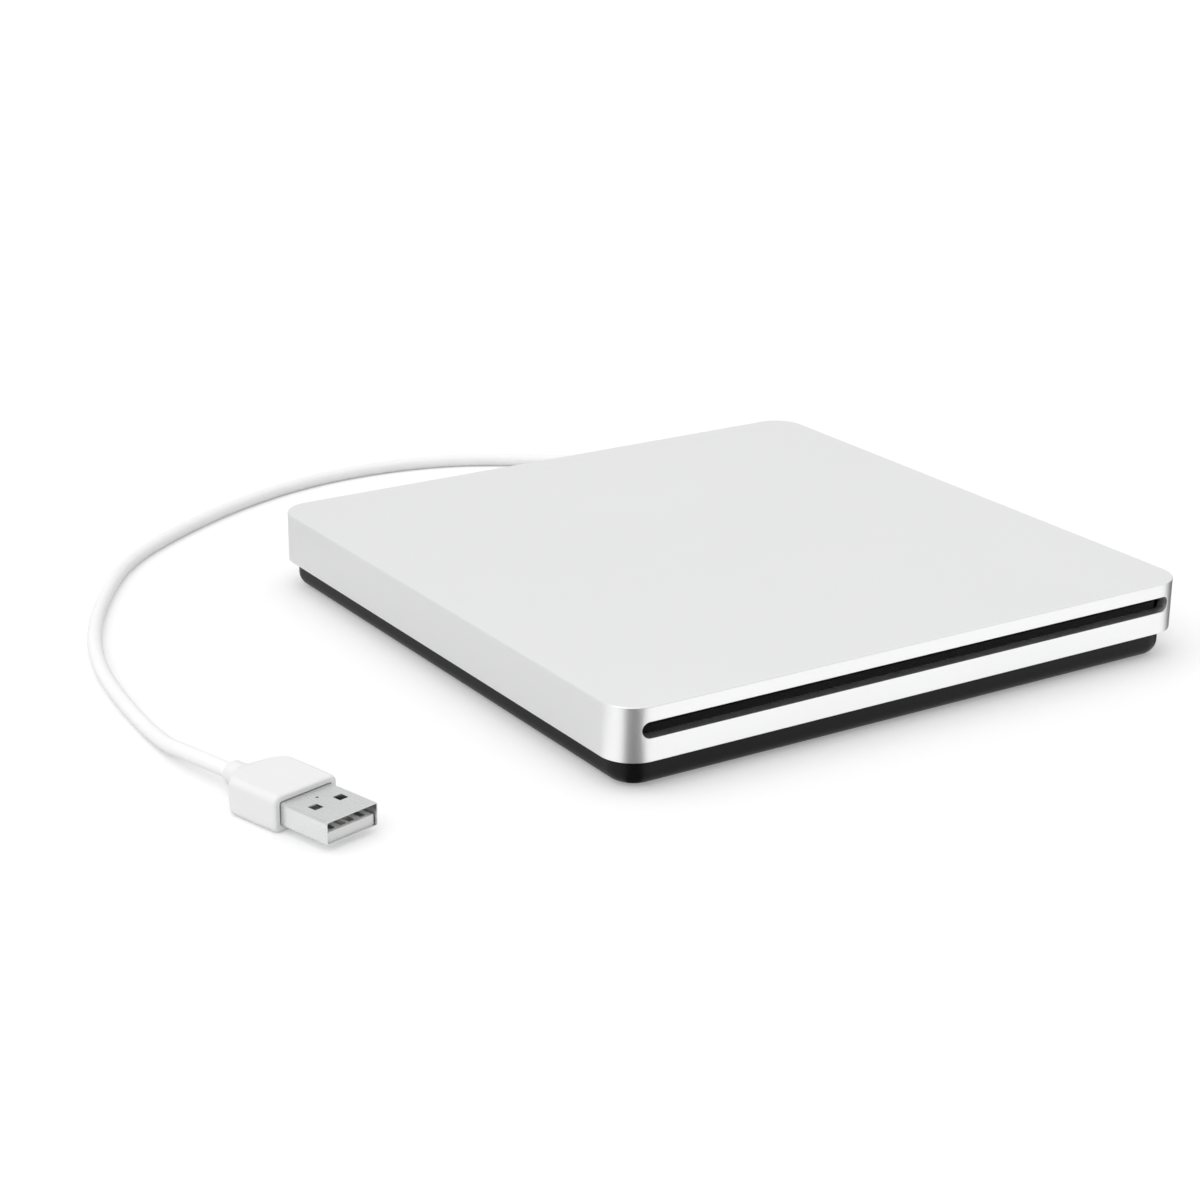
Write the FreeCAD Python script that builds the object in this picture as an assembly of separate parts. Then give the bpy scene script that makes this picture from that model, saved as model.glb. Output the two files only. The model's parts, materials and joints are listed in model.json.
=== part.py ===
import FreeCAD, Part
import math
import os

os.makedirs("parts", exist_ok=True)

Vector = FreeCAD.Vector
UP = Vector(0, 0, 1)

# External slot-loading disc drive with a captive USB lead.
# Millimetres. +Z is up, the slot faces -Y, the table is z = 0 and the
# origin is the middle of the footprint.

# Disc that the drive takes
disc_diameter = 120.0
disc_thickness = 1.2
disc_hole = 15.0

# Housing
case_width = 139.0
case_depth = 139.0
case_height = 17.0
shell_rim_height = 6.2
shell_corner = 8.5
shell_side_wall = 2.0
shell_front_wall = 2.5
shell_top_wall = 1.2
shell_edge = 0.4
slot_height = 3.2
slot_side_margin = 4.75
slot_under_top = 4.5

# Base tray and foot pad
tray_inset = 3.0
tray_wall = 1.2
tray_bottom = 0.3
tray_floor = 1.5
tray_edge_round = 2.5
lip_wall = 1.1
lip_height = 2.0
lip_clearance = 0.15
pad_thickness = 1.0
pad_inset = 6.0
pad_clearance = 0.2
pad_edge = 0.25

# Screws and their bosses
boss_radius = 2.2
boss_inset = 8.6
boss_start = 8.4
mount_radius = 3.0
mount_inset = 7.0
screw_shank = 0.9
screw_head_radius = 1.9
screw_head = 0.8
screw_clearance = 0.15
screw_seat = 2.0
screw_grip = 1.4
sheet_grip = 0.7

# Drive chassis and cover, of folded sheet
sheet = 0.5
side_space = 3.5
rear_space = 9.1
felt_space = 2.4
felt_thickness = 0.9
felt_slit = 0.5
chassis_corner = 2.5
chassis_bottom = 2.8
mouth_margin = 1.5
shelf_gap = 0.3
shelf_width = 4.0
shelf_reach = 3.0
board_post = 1.6
cover_gap = 0.1
cover_flange = 2.2
cover_flange_inset = 8.0
dish_radius = 16.5
dish_slope = 1.6
dish_depth = 0.8
dish_hole = 8.0
damper_thickness = 0.3
damper_length = 12.0
damper_width = 8.0
damper_inset = 14.0

# Gear forms
pressure_angle = math.radians(25.0)
addendum = 0.9
dedendum = 1.2
backlash = 0.16
bore_clearance = 0.05
gear_width = 1.2
gear_hub_gap = 0.7
rack_module = 0.8
train_module = 0.5
worm_teeth = 26
train_pinion_teeth = 12
train_gear_teeth = 30
drive_pinion_teeth = 12
corner_teeth = 21
sector_teeth = 40
worm_pitch_radius = 1.9
worm_length = 6.0
worm_gear_inset = 7.0
train_gear_back = 24.6

# Sliders
slider_travel = 10.0
slider_side_gap = 0.34
slider_end_gap = 0.3
rack_reach = 2.6
rack_root = 0.5
slider_bar = 3.2
slider_under_rack = 1.8
slider_slot_length = 16.0
leg_gap = 0.3
leg_thickness = 0.8
leg_web = 1.2
lift_wall = 0.8
lift_wall_out = 2.7
lift_wall_over_pin = 1.9
lift_wall_end = 3.5
cross_under_rack = 1.6
cross_thickness = 1.2
cross_bar = 3.0
cross_slot_length = 12.0

# Swinging arms and their pivots
arm_thickness = 0.8
arm_over_gear = 0.2
arm_hub = 4.0
arm_tip = 2.0
right_pivot_back = 32.0
lever_pivot_inset = 16.0
left_pivot_inset = 5.0
left_pivot_back = 19.0
left_arm_hub = 2.4
left_arm_tip = 1.8
left_arm_gap = 0.4
left_swing = 75.0
roller_radius = 2.5
roller_flange = 0.5
roller_flange_height = 0.7
roller_slope = 0.2
roller_height = 3.7
roller_below_disc = 1.4
roller_gap = 0.1
play_gap = 1.0
right_play_angle = -43.0
lever_play_angle = 68.8
left_play_angle = 141.7
post_radius = 1.0
post_collar = 1.4
post_collar_height = 0.6
post_head = 1.3
stud_radius = 0.8
stud_collar = 2.0
stud_head = 1.5
stud_gap = 0.1
head_height = 0.3

# Traverse: the tilting frame with the spindle and the optical pick-up
heading = 225.0
lift_drop = 2.4
frame_under_disc = 5.1
frame_plate = 1.0
frame_rib = 1.2
frame_rib_height = 1.8
frame_rib_start = 20.0
frame_low_side = 25.0
frame_high_side = 20.0
frame_side_gap = 2.6
frame_rail = 2.5
frame_chamfer = 5.4
frame_low_chamfer = 6.48
frame_front_bar = 3.2
hub_end_radius = 16.5
hinge_inset = 9.6
hinge_front_gap = 1.77
hinge_reach_out = 3.2
hinge_pin_radius = 0.9
hinge_bracket = 1.2
hinge_bracket_half = 2.5
hinge_bracket_gap = 1.0
hinge_foot = 1.2
lift_pin_radius = 0.8
lift_pin_over_frame = 1.5
lift_pin_back = 8.0
lift_pin_end = 0.6
lift_ear_gap = 2.4
lift_ear_length = 4.0
lift_ear_half = 1.5
slot_clearance = 0.2
rod_over_frame = 1.1
rod_radius = 1.2
slave_rod_radius = 1.0
rod_offset = 15.6
rod_start = 12.0
rod_end_gap = 0.4
rod_seat = 2.5
screw_offset = 20.4
screw_radius = 1.2
screw_pitch = 3.0
screw_bearing = 1.5
screw_bearing_inset = 3.4
feed_motor_radius = 2.9
feed_motor_start = 3.0
feed_motor_length = 10.5

# Optical pick-up
lens_inner = 24.0
lens_radius = 2.6
sled_inner_side = 8.0
sled_outer_side = 6.0
sled_half = 12.5
sled_wall = 1.5
sled_under_frame = 0.8
sled_height = 3.8
sled_floor = 1.4
bush_length = 4.0
bush_wall = 0.9
follower_half = 2.0
jaw_thickness = 0.7
magnet_inner = 6.2
magnet_outer = 8.8
holder_half = 3.6
holder_reach = 5.2
holder_gap = 0.6
holder_rise = 0.4
focus_travel = 0.5

# Spindle motor and turntable
table_radius = 13.5
table_plate = 0.9
ring_thickness = 0.3
ring_bore = 9.6
hub_height = 1.8
hub_clearance = 0.15
hub_chamfer = 1.6
claw_radius = 6.8
claw_bump = 0.8
claw_inner = 4.2
claw_width = 2.6
claw_side_gap = 0.2
claws = 3
rotor_radius = 10.5
rotor_wall = 0.6
rotor_gap = 0.3
stator_radius = 8.8
stator_ring = 1.6
stator_height = 1.2
stator_poles = 9
pole_neck = 1.2
pole_shoe = 4.8
pole_shoe_depth = 0.8
shaft_radius = 1.0
sleeve_radius = 2.6
sleeve_drop = 1.8
base_plate = 0.4
base_radius = 12.0

# Loading motor
motor_radius = 3.5
motor_flat = 3.0
motor_length = 15.0
motor_cap = 1.2
motor_nose = 1.0
motor_nose_radius = 1.5
motor_shaft_radius = 0.75
motor_window_gap = 0.4
motor_to_worm = 6.0
bearing_to_worm = 2.0
bracket_sheet = 0.6
bracket_side = 0.6
bearing_width = 1.2
bearing_rim = 1.6

# Boards
board_thickness = 1.0
main_board_over_floor = 0.7
main_board_width = 49.0
main_board_middle = -9.5
main_board_from_spindle = 24.0
main_board_rear = 6.0
bridge_board_length = 62.0
bridge_board_from_cord = 6.0
bridge_board_under_top = 3.0
socket_width = 25.0
socket_over_board = 0.0
socket_height = 2.0
socket_rim = 0.8
socket_depth = 3.2
socket_gap = 0.2
plug_stand_out = 0.4

# Lead, boot and plug
cord_diameter = 3.0
cord_exit_inset = 23.5
cord_exit_height = 3.3
boot_length = 11.0
boot_radius = 2.7
boot_tip_radius = 2.1
boot_neck_radius = 2.0
boot_flange_radius = 3.0
boot_flange = 1.2
boot_rings = 3
boot_ring_start = 1.5
boot_ring_depth = 0.4
plug_x = -121.8
plug_y = -48.2
plug_turn = -75.23
plug_width = 12.0
plug_height = 4.5
plug_reach = 12.0
plug_sheet = 0.3
plug_corner = 0.25
plug_tongue_height = 1.84
plug_tongue_inset = 0.6
contact_width = 1.0
contact_thickness = 0.15
contact_inset = 1.2
latch_hole = 2.0
latch_start = 4.8
latch_offset = 2.9
grip_width = 14.8
grip_height = 7.2
grip_length = 16.0
grip_shoulder = 3.6
grip_top_shoulder = 2.0
grip_neck_length = 4.5
grip_neck_radius = 2.4
grip_neck_blend = 2.2

# Flat sides of turned pieces and round corners, and how far a cut runs past the face that it opens
fine_sides = 8
small_sides = 10
large_sides = 18
corner_steps = 5
tray_round_steps = 3
thread_steps = 10
past = 1.0

# Housing sizes that follow
front_y = -case_depth / 2
back_y = case_depth / 2
shell_ceiling = case_height - shell_top_wall
slot_width = case_width - 2 * slot_side_margin
slot_centre_height = case_height - slot_under_top
tray_corner = shell_corner - tray_inset
tray_floor_top = tray_bottom + tray_floor
tray_back_face = back_y - tray_inset
chassis_width = case_width - 2 * (shell_side_wall + side_space)
chassis_depth = case_depth - shell_front_wall - felt_space - rear_space
chassis_side = chassis_width / 2
chassis_front = front_y + shell_front_wall + felt_space
chassis_back = chassis_front + chassis_depth
chassis_top = shell_ceiling - damper_thickness
chassis_floor = chassis_bottom + sheet
cover_under = chassis_top - sheet
cord_exit_x = case_width / 2 - cord_exit_inset

# Levels, from the disc down to the gears
turntable_top = slot_centre_height - disc_thickness / 2
roller_low = turntable_top - roller_below_disc
arm_level = roller_low - post_collar_height - roller_gap - arm_thickness
arm_top = arm_level + arm_thickness
left_arm_level = cover_under - left_arm_gap - arm_thickness
gear_level_top = arm_level - arm_over_gear
gear_spacing = (gear_level_top - chassis_floor - 2 * gear_width) / 3
gear_level_low = chassis_floor + gear_spacing
gear_level_mid = gear_level_low + gear_width + gear_spacing
rack_top = gear_level_top + gear_width
slider_bottom = gear_level_top - slider_under_rack
cross_bottom = gear_level_top - cross_under_rack
leg_level = chassis_floor + leg_gap
frame_level = turntable_top - frame_under_disc
frame_top = frame_level + frame_plate
frame_rib_top = frame_top + frame_rib_height
frame_middle = frame_level + frame_plate / 2
lift_pin_height = frame_level + lift_pin_over_frame
rod_height = frame_level + rod_over_frame
sled_bottom = frame_level - sled_under_frame
sled_top = sled_bottom + sled_height
sled_floor_top = sled_bottom + sled_floor
table_low = turntable_top - ring_thickness - table_plate
rotor_roof = table_low - rotor_wall
main_board_level = chassis_floor + main_board_over_floor
main_board_top = main_board_level + board_thickness
socket_level = main_board_top + socket_over_board

# Places of the traverse, whose frame fits the chassis' width and whose hinge clears its front
diagonal = math.sin(math.radians(45.0))
frame_end = (chassis_side - sheet - frame_side_gap) / diagonal + frame_low_chamfer - frame_low_side
frame_window_end = frame_end - frame_front_bar
hinge_reach = frame_end - hinge_inset
hinge_foot_reach = frame_high_side + hinge_bracket_gap + hinge_bracket + hinge_foot
hinge_corner = (hinge_reach + hinge_bracket_half + hinge_foot_reach) * diagonal
spindle_y = chassis_front + sheet + hinge_front_gap + hinge_corner
hinge_angle = math.degrees(math.asin(lift_drop / hinge_reach))
lens_travel = frame_window_end - rod_end_gap - sled_outer_side - lens_inner
feed_motor_end = feed_motor_start + feed_motor_length

# Places of the gears, the sliders and the arms
drive_pinion_radius = rack_module * drive_pinion_teeth / 2
corner_radius = rack_module * corner_teeth / 2
sector_radius = rack_module * sector_teeth / 2
train_gear_radius = train_module * train_gear_teeth / 2
train_pinion_radius = train_module * train_pinion_teeth / 2
worm_gear_radius = train_module * worm_teeth / 2
train_distance = train_gear_radius + train_pinion_radius
rack_depth = dedendum * rack_module
rack_line_x = chassis_side - sheet - slider_side_gap - slider_bar - rack_depth
train_gear_x = rack_line_x - drive_pinion_radius
train_gear_y = chassis_front + train_gear_back
worm_gear_x = rack_line_x - worm_gear_inset
worm_gear_y = train_gear_y - math.sqrt(train_distance ** 2 - (train_gear_x - worm_gear_x) ** 2)
worm_y = worm_gear_y - worm_gear_radius - worm_pitch_radius
worm_height = gear_level_mid + gear_width / 2
motor_face_x = worm_gear_x - worm_length / 2 - motor_to_worm
bearing_x = worm_gear_x + worm_length / 2 + bearing_to_worm
slider_front = train_gear_y - slider_travel - rack_reach
slider_back = chassis_back - sheet - slider_end_gap - slider_travel
corner_x = rack_line_x - corner_radius
corner_y = slider_back - rack_reach
cross_line_y = corner_y + corner_radius
right_pivot_x = rack_line_x - sector_radius
right_pivot_y = train_gear_y + right_pivot_back
lever_pivot_x = lever_pivot_inset - chassis_side
lever_pivot_y = cross_line_y - sector_radius
left_pivot_x = left_pivot_inset - chassis_side
left_pivot_y = spindle_y + left_pivot_back
swing = math.degrees(slider_travel / sector_radius)
lift_pin_y = spindle_y + lift_pin_back
lift_wall_x = hub_end_radius + lift_wall_out
lift_ear_x = lift_wall_x - lift_ear_gap

# How far from the spindle the rollers stand clear of a disc that plays
play_radius = disc_diameter / 2 + roller_radius + play_gap

# Places of the boards
main_board_left = main_board_middle - main_board_width / 2
main_board_right = main_board_left + main_board_width
main_board_front = spindle_y + main_board_from_spindle
main_board_back = chassis_back - sheet - main_board_rear
socket_right = main_board_right - 1.0
socket_left = socket_right - socket_width
bridge_board_front = chassis_back + plug_stand_out + socket_depth
bridge_board_right = cord_exit_x - bridge_board_from_cord


# Plain solids

def box(x0, x1, y0, y1, z0, z1):
    return Part.makeBox(x1 - x0, y1 - y0, z1 - z0, Vector(x0, y0, z0))


def polar(x, y, radius, degrees):
    turn = math.radians(degrees)
    return x + radius * math.cos(turn), y + radius * math.sin(turn)


def direction(x0, y0, x1, y1):
    return math.degrees(math.atan2(y1 - y0, x1 - x0))


def prism(points, z0, z1):
    corners = [Vector(x, y, z0) for x, y in points]
    outline = Part.makePolygon(corners + corners[:1])
    return Part.Face(outline).extrude(Vector(0, 0, z1 - z0))


def rounded_outline(x0, x1, y0, y1, corner):
    """The corners of a rectangle whose own corners are rounded in flat steps."""
    points = []
    middles = ((x1 - corner, y1 - corner), (x0 + corner, y1 - corner),
               (x0 + corner, y0 + corner), (x1 - corner, y0 + corner))
    for quarter, (x, y) in enumerate(middles):
        for step in range(corner_steps + 1):
            points.append(polar(x, y, corner, 90 * (quarter + step / corner_steps)))
    return points


def slab(x0, x1, y0, y1, z0, z1, corner):
    """A block with rounded upright corners."""
    return prism(rounded_outline(x0, x1, y0, y1, corner), z0, z1)


def round_post(x, y, z0, z1, radius):
    """An upright post that is truly round, for what another piece turns on."""
    return Part.makeCylinder(radius, z1 - z0, Vector(x, y, z0))


def round_rod(start, end, radius):
    return Part.makeCylinder(radius, (end - start).Length, start, end - start)


def post(x, y, z0, z1, radius, sides=small_sides):
    """An upright post with flat sides, its corners on the circle."""
    step = 360 / sides
    return prism([polar(x, y, radius, step * (number + 0.5)) for number in range(sides)], z0, z1)


def hole(x, y, z0, z1, radius, sides=small_sides):
    """A cutter for a bore with flat sides, its flats on the circle."""
    return post(x, y, z0, z1, radius / math.cos(math.pi / sides), sides)


def laid(solid, start, end):
    """Lays an upright solid that starts at the origin along the line from start to end."""
    placed = solid.copy()
    placed.Placement = FreeCAD.Placement(start, FreeCAD.Rotation(UP, end - start))
    return placed


def rod(start, end, radius, sides=small_sides):
    return laid(post(0, 0, 0, (end - start).Length, radius, sides), start, end)


def bore(start, end, radius, sides=small_sides):
    return laid(hole(0, 0, 0, (end - start).Length, radius, sides), start, end)


def flat_face(corners):
    """A face through points in one plane, where a point may repeat the one before it."""
    kept = [corner for corner, before in zip(corners, corners[-1:] + corners[:-1])
            if not corner.isEqual(before, 1e-6)]
    return Part.Face(Part.makePolygon(kept + kept[:1]))


def closed_solid(faces):
    shell = Part.makeShell(faces)
    shell.sewShape()
    return Part.makeSolid(shell)


def turned(profile, x=0.0, y=0.0, sides=small_sides):
    """A turned piece with flat sides about an upright axis, from (radius, height) points."""
    faces = []
    for (radius, height), (next_radius, next_height) in zip(profile, profile[1:] + profile[:1]):
        if radius == 0 and next_radius == 0:
            continue
        for number in range(sides):
            near = 360 * (number - 0.5) / sides
            far = 360 * (number + 0.5) / sides
            faces.append(flat_face([
                Vector(*polar(x, y, radius, near), height), Vector(*polar(x, y, radius, far), height),
                Vector(*polar(x, y, next_radius, far), next_height),
                Vector(*polar(x, y, next_radius, near), next_height)]))
    return closed_solid(faces).removeSplitter()


def link(x0, y0, r0, x1, y1, r1, z0, z1):
    """A flat link with rounded ends of different radius."""
    along = direction(x0, y0, x1, y1)
    lean = math.degrees(math.acos((r0 - r1) / math.hypot(x1 - x0, y1 - y0)))
    steps = small_sides // 2
    corners = []
    for x, y, radius, first, last in ((x1, y1, r1, -lean, lean), (x0, y0, r0, lean, 360 - lean)):
        for number in range(steps + 1):
            corners.append(polar(x, y, radius, along + first + (last - first) * number / steps))
    return prism(corners, z0, z1)


def case_outline(inset, corner):
    """The plan of the case, set in on all four sides."""
    x = case_width / 2 - inset
    y = case_depth / 2 - inset
    return rounded_outline(-x, x, -y, y, corner)


def case_slab(inset, z0, z1, corner):
    return prism(case_outline(inset, corner), z0, z1)


def moulded(levels):
    """A block with the plan of the case that is rounded below, from (inset, corner, height) levels."""
    rings = [[Vector(x, y, z) for x, y in case_outline(inset, corner)] for inset, corner, z in levels]
    faces = [flat_face(rings[0]), flat_face(rings[-1])]
    for ring, following in zip(rings, rings[1:]):
        for near in range(len(ring)):
            far = (near + 1) % len(ring)
            faces.append(flat_face([ring[near], ring[far], following[far], following[near]]))
    return closed_solid(faces)


def chassis_slab(inset, z0, z1):
    """A block with the plan of the chassis, set in on all four sides."""
    x = chassis_side - inset
    return slab(-x, x, chassis_front + inset, chassis_back - inset, z0, z1, chassis_corner - inset)


# Gear teeth

def involute(angle):
    return math.tan(angle) - angle


def tooth_outline(teeth, module, phase):
    """The corners of a spur gear's outline, on the involute. A small pinion has a middle point too."""
    pitch = teeth * module / 2
    base = pitch * math.cos(pressure_angle)
    root = pitch - dedendum * module
    tip = pitch + addendum * module
    half = (math.pi * module / 2 - backlash) / (2 * pitch) + involute(pressure_angle)
    rise = [root, tip]
    if teeth < corner_teeth:
        rise.insert(1, (max(base, root) + tip) / 2)
    corners = []
    for number in range(teeth):
        centre = phase + 360 * number / teeth
        for side, radii in ((-1, rise), (1, rise[::-1])):
            for radius in radii:
                lean = math.acos(min(1.0, base / radius))
                corners.append(polar(0, 0, radius, centre + side * math.degrees(half - involute(lean))))
    return corners


def gear(x, y, z0, z1, teeth, module, phase):
    """A spur gear with one tooth centred on the phase angle, in degrees."""
    solid = prism(tooth_outline(teeth, module, phase), z0, z1)
    solid.translate(Vector(x, y, 0))
    return solid


def rack(start, end, gap_at, z0, z1):
    """Rack teeth that point to +Y from the pitch line y = 0, with a gap centred at gap_at."""
    pitch = math.pi * rack_module
    half = (pitch / 2 - backlash) / 2
    slope = math.tan(pressure_angle)
    high = addendum * rack_module
    foot = half + rack_depth * slope
    number = math.ceil((start - gap_at + foot) / pitch - 0.5)
    points = [(start, -rack_depth - rack_root), (start, -rack_depth)]
    while gap_at + (number + 0.5) * pitch + foot <= end:
        centre = gap_at + (number + 0.5) * pitch
        points.append((centre - foot, -rack_depth))
        points.append((centre - half + high * slope, high))
        points.append((centre + half - high * slope, high))
        points.append((centre + foot, -rack_depth))
        number += 1
    points += [(end, -rack_depth), (end, -rack_depth - rack_root)]
    return prism(points, z0, z1)


def sector(x, y, z0, z1, phase, first, last):
    """Part of a gear of the arms' pitch, with the teeth from the first to the last angle."""
    whole = gear(x, y, z0, z1, sector_teeth, rack_module, phase)
    reach = 2 * sector_radius
    wedge = prism([(x, y), polar(x, y, reach, first), polar(x, y, reach, last)], z0, z1)
    return whole.common(wedge)


def bored(solid, x, y):
    """Opens a pivot's bore all the way through."""
    return solid.cut(hole(x, y, 0, case_height, stud_radius + bore_clearance, fine_sides))


# Placing on the traverse

def hinge_axis():
    turn = math.radians(heading + 90)
    return Vector(math.cos(turn), math.sin(turn), 0)


def hinge_point():
    x, y = polar(0, spindle_y, hinge_reach, heading)
    return Vector(x, y, frame_middle)


def lowered(shape):
    """Tilts a shape of the level traverse, given in the drive's axes, to its lowered place."""
    placed = shape.copy()
    placed.rotate(hinge_point(), hinge_axis(), -hinge_angle)
    return placed


def above_spindle(shape):
    """Turns a shape from the traverse's own frame, where +X runs from the spindle outwards
    along the pick-up's path, to its place in the drive with the traverse level."""
    placed = shape.copy()
    placed.rotate(Vector(0, 0, 0), UP, heading)
    placed.translate(Vector(0, spindle_y, 0))
    return placed


def to_traverse(shape):
    """The same with the traverse lowered."""
    return lowered(above_spindle(shape))


def traverse_point(u, v, z):
    """Where a point of the traverse's own frame lies in the drive."""
    return to_traverse(Part.Vertex(u, v, z)).Point


def along_traverse(u0, u1, v):
    """The ends of a line along the rods, in the traverse's own frame."""
    return Vector(u0, v, rod_height), Vector(u1, v, rod_height)


# Housing

def screw_boss_places():
    x = case_width / 2 - boss_inset
    y = (chassis_back + back_y - shell_side_wall) / 2
    return [(-x, y), (x, y)]


def mount_places():
    """Where the chassis stands on the tray's bosses, each held by a screw from below."""
    x = chassis_side - mount_inset
    return [(-x, chassis_back - 10.0), (x, chassis_back - 26.0),
            (x, right_pivot_y - 14.0), (-x, right_pivot_y + 12.0)]


def shell_hollow():
    side = case_width / 2 - shell_side_wall
    return slab(-side, side, front_y + shell_front_wall, back_y - shell_side_wall,
                shell_rim_height - past, shell_ceiling, shell_corner - shell_side_wall)


def slot_cutter():
    """The disc slot: a long hole with full round ends through the front wall."""
    y0 = front_y - past
    y1 = front_y + shell_corner
    half = slot_height / 2
    end = slot_width / 2 - half
    cutter = box(-end, end, y0, y1, slot_centre_height - half, slot_centre_height + half)
    for x in (-end, end):
        start = Vector(x, y0, slot_centre_height)
        cutter = cutter.fuse(round_rod(start, Vector(x, y1, slot_centre_height), half))
    return cutter.removeSplitter()


def shell_block():
    """The shell's outside, with true round corners and a fine edge along its top."""
    block = box(-case_width / 2, case_width / 2, front_y, back_y, shell_rim_height, case_height)
    upright = [e for e in block.Edges if abs(e.tangentAt(e.FirstParameter).z) > 0.9]
    block = block.makeFillet(shell_corner, upright)
    top_rim = [e for e in block.Edges if e.BoundBox.ZMin > case_height - 0.01]
    return block.makeChamfer(shell_edge, top_rim)


def top_shell():
    shell = shell_block().cut(shell_hollow()).cut(slot_cutter())
    for x, y in screw_boss_places():
        shell = shell.fuse(post(x, y, boss_start, shell_ceiling, boss_radius, fine_sides))
        shell = shell.cut(hole(x, y, boss_start, boss_start + 2 * screw_grip, screw_shank, fine_sides))
    return shell.removeSplitter()


def pad_recess():
    return case_slab(tray_inset + pad_inset - pad_clearance, 0, pad_thickness, tray_corner)


def tray_boss(tray, x, y, top, radius):
    """Adds a boss on the tray's floor and the screw's stepped hole up through it."""
    boss = tray.fuse(post(x, y, tray_floor_top, top, radius, fine_sides))
    boss = boss.cut(hole(x, y, 0, top, screw_shank + screw_clearance, fine_sides))
    return boss.cut(hole(x, y, 0, screw_seat, screw_head_radius + screw_clearance, fine_sides))


def base_tray():
    """The moulded tray: round-edged below, with a lip that locates in the shell."""
    levels = []
    for step in range(tray_round_steps + 1):
        turn = math.radians(90 * step / tray_round_steps)
        in_by = tray_edge_round * (1 - math.sin(turn))
        levels.append((tray_inset + in_by, tray_corner - in_by, tray_bottom + tray_edge_round * (1 - math.cos(turn))))
    tray = moulded(levels + [(tray_inset, tray_corner, shell_rim_height)])
    lip_side = shell_side_wall + lip_clearance
    lip_front = front_y + shell_front_wall + lip_clearance
    lip_corner = shell_corner - lip_side
    lip_top = shell_rim_height + lip_height
    x = case_width / 2 - lip_side
    y = case_depth / 2 - lip_side
    tray = tray.fuse(slab(-x, x, lip_front, y, shell_rim_height, lip_top, lip_corner))
    tray = tray.cut(case_slab(tray_inset + tray_wall, tray_floor_top, lip_top + past, tray_corner - tray_wall))
    tray = tray.cut(slab(lip_wall - x, x - lip_wall, lip_front + lip_wall, y - lip_wall,
                         shell_rim_height + past, lip_top + past, lip_corner - lip_wall))
    tray = tray.cut(pad_recess())
    for x, y in mount_places():
        tray = tray_boss(tray, x, y, chassis_bottom, mount_radius)
    for x, y in screw_boss_places():
        tray = tray_boss(tray, x, y, boss_start, boss_radius)
    inside = Vector(cord_exit_x, tray_back_face - tray_wall, cord_exit_height)
    step = Vector(cord_exit_x, tray_back_face - tray_wall / 2, cord_exit_height)
    outside = Vector(cord_exit_x, tray_back_face + past, cord_exit_height)
    tray = tray.cut(rod(inside, outside, boot_neck_radius))
    return tray.cut(rod(step, outside, boot_radius)).removeSplitter()


def foot_pad():
    inset = tray_inset + pad_inset
    return moulded([(inset + pad_edge, tray_corner - pad_edge, 0), (inset, tray_corner, pad_edge),
                    (inset, tray_corner, pad_thickness)])


def screws(places, top):
    """Flat-headed screws, each with its head on the seat in the tray's floor."""
    group = []
    for x, y in places:
        head = post(x, y, screw_seat - screw_head, screw_seat, screw_head_radius, fine_sides)
        group.append(head.fuse(post(x, y, screw_seat, top, screw_shank, fine_sides)))
    return Part.makeCompound(group)


# Chassis and cover

def main_board_posts():
    edge = 3.0
    return [(x, y) for x in (main_board_left + edge, main_board_right - edge)
            for y in (main_board_front + edge, main_board_back - edge)]


def traverse_window():
    """The opening in the chassis' floor that the traverse dips into."""
    start = 1.0
    end = hinge_reach - 4.0
    low = -frame_low_side
    high = frame_high_side - 1.0
    window = prism([(start, low), (end, low), (end, high), (start, high)], 0, chassis_floor + past)
    return above_spindle(window)


def drive_chassis():
    """The sheet pan, with its mouth, windows, board posts and the sliders' shelves."""
    pan = chassis_slab(0, chassis_bottom, cover_under - cover_gap)
    pan = pan.cut(chassis_slab(sheet, chassis_floor, cover_under))
    mouth = disc_diameter / 2 + mouth_margin
    pan = pan.cut(box(-mouth, mouth, chassis_front - past, chassis_front + past, roller_low - shelf_gap, cover_under))
    pan = pan.cut(traverse_window())
    side = motor_radius + motor_window_gap
    motor_start = motor_face_x - motor_length - motor_cap - motor_window_gap
    pan = pan.cut(box(motor_start, motor_face_x - motor_window_gap, worm_y - side, worm_y + side,
                      0, chassis_floor + past))
    pan = pan.cut(box(socket_left - socket_gap, socket_right + socket_gap, chassis_back - past, chassis_back + past,
                      socket_level - socket_gap, socket_level + socket_height + socket_gap))
    half = shelf_width / 2
    wall = chassis_side - sheet
    shelf = slider_bottom - shelf_gap
    for y in (slider_front + 6.0, right_pivot_y - 16.0, right_pivot_y + 30.0, corner_y - 8.0):
        pan = pan.fuse(box(wall - shelf_reach, wall, y - half, y + half, shelf - sheet, shelf))
    wall = chassis_back - sheet
    shelf = cross_bottom - shelf_gap
    for x in (lever_pivot_x + 10.0, lever_pivot_x + 26.0, corner_x - 12.0):
        pan = pan.fuse(box(x - half, x + half, wall - shelf_reach, wall, shelf - sheet, shelf))
    for x, y in main_board_posts():
        pan = pan.fuse(post(x, y, chassis_floor, main_board_level, board_post, fine_sides))
    for x, y in mount_places():
        pan = pan.cut(hole(x, y, 0, chassis_floor + past, screw_shank, fine_sides))
    return pan.removeSplitter()


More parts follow.
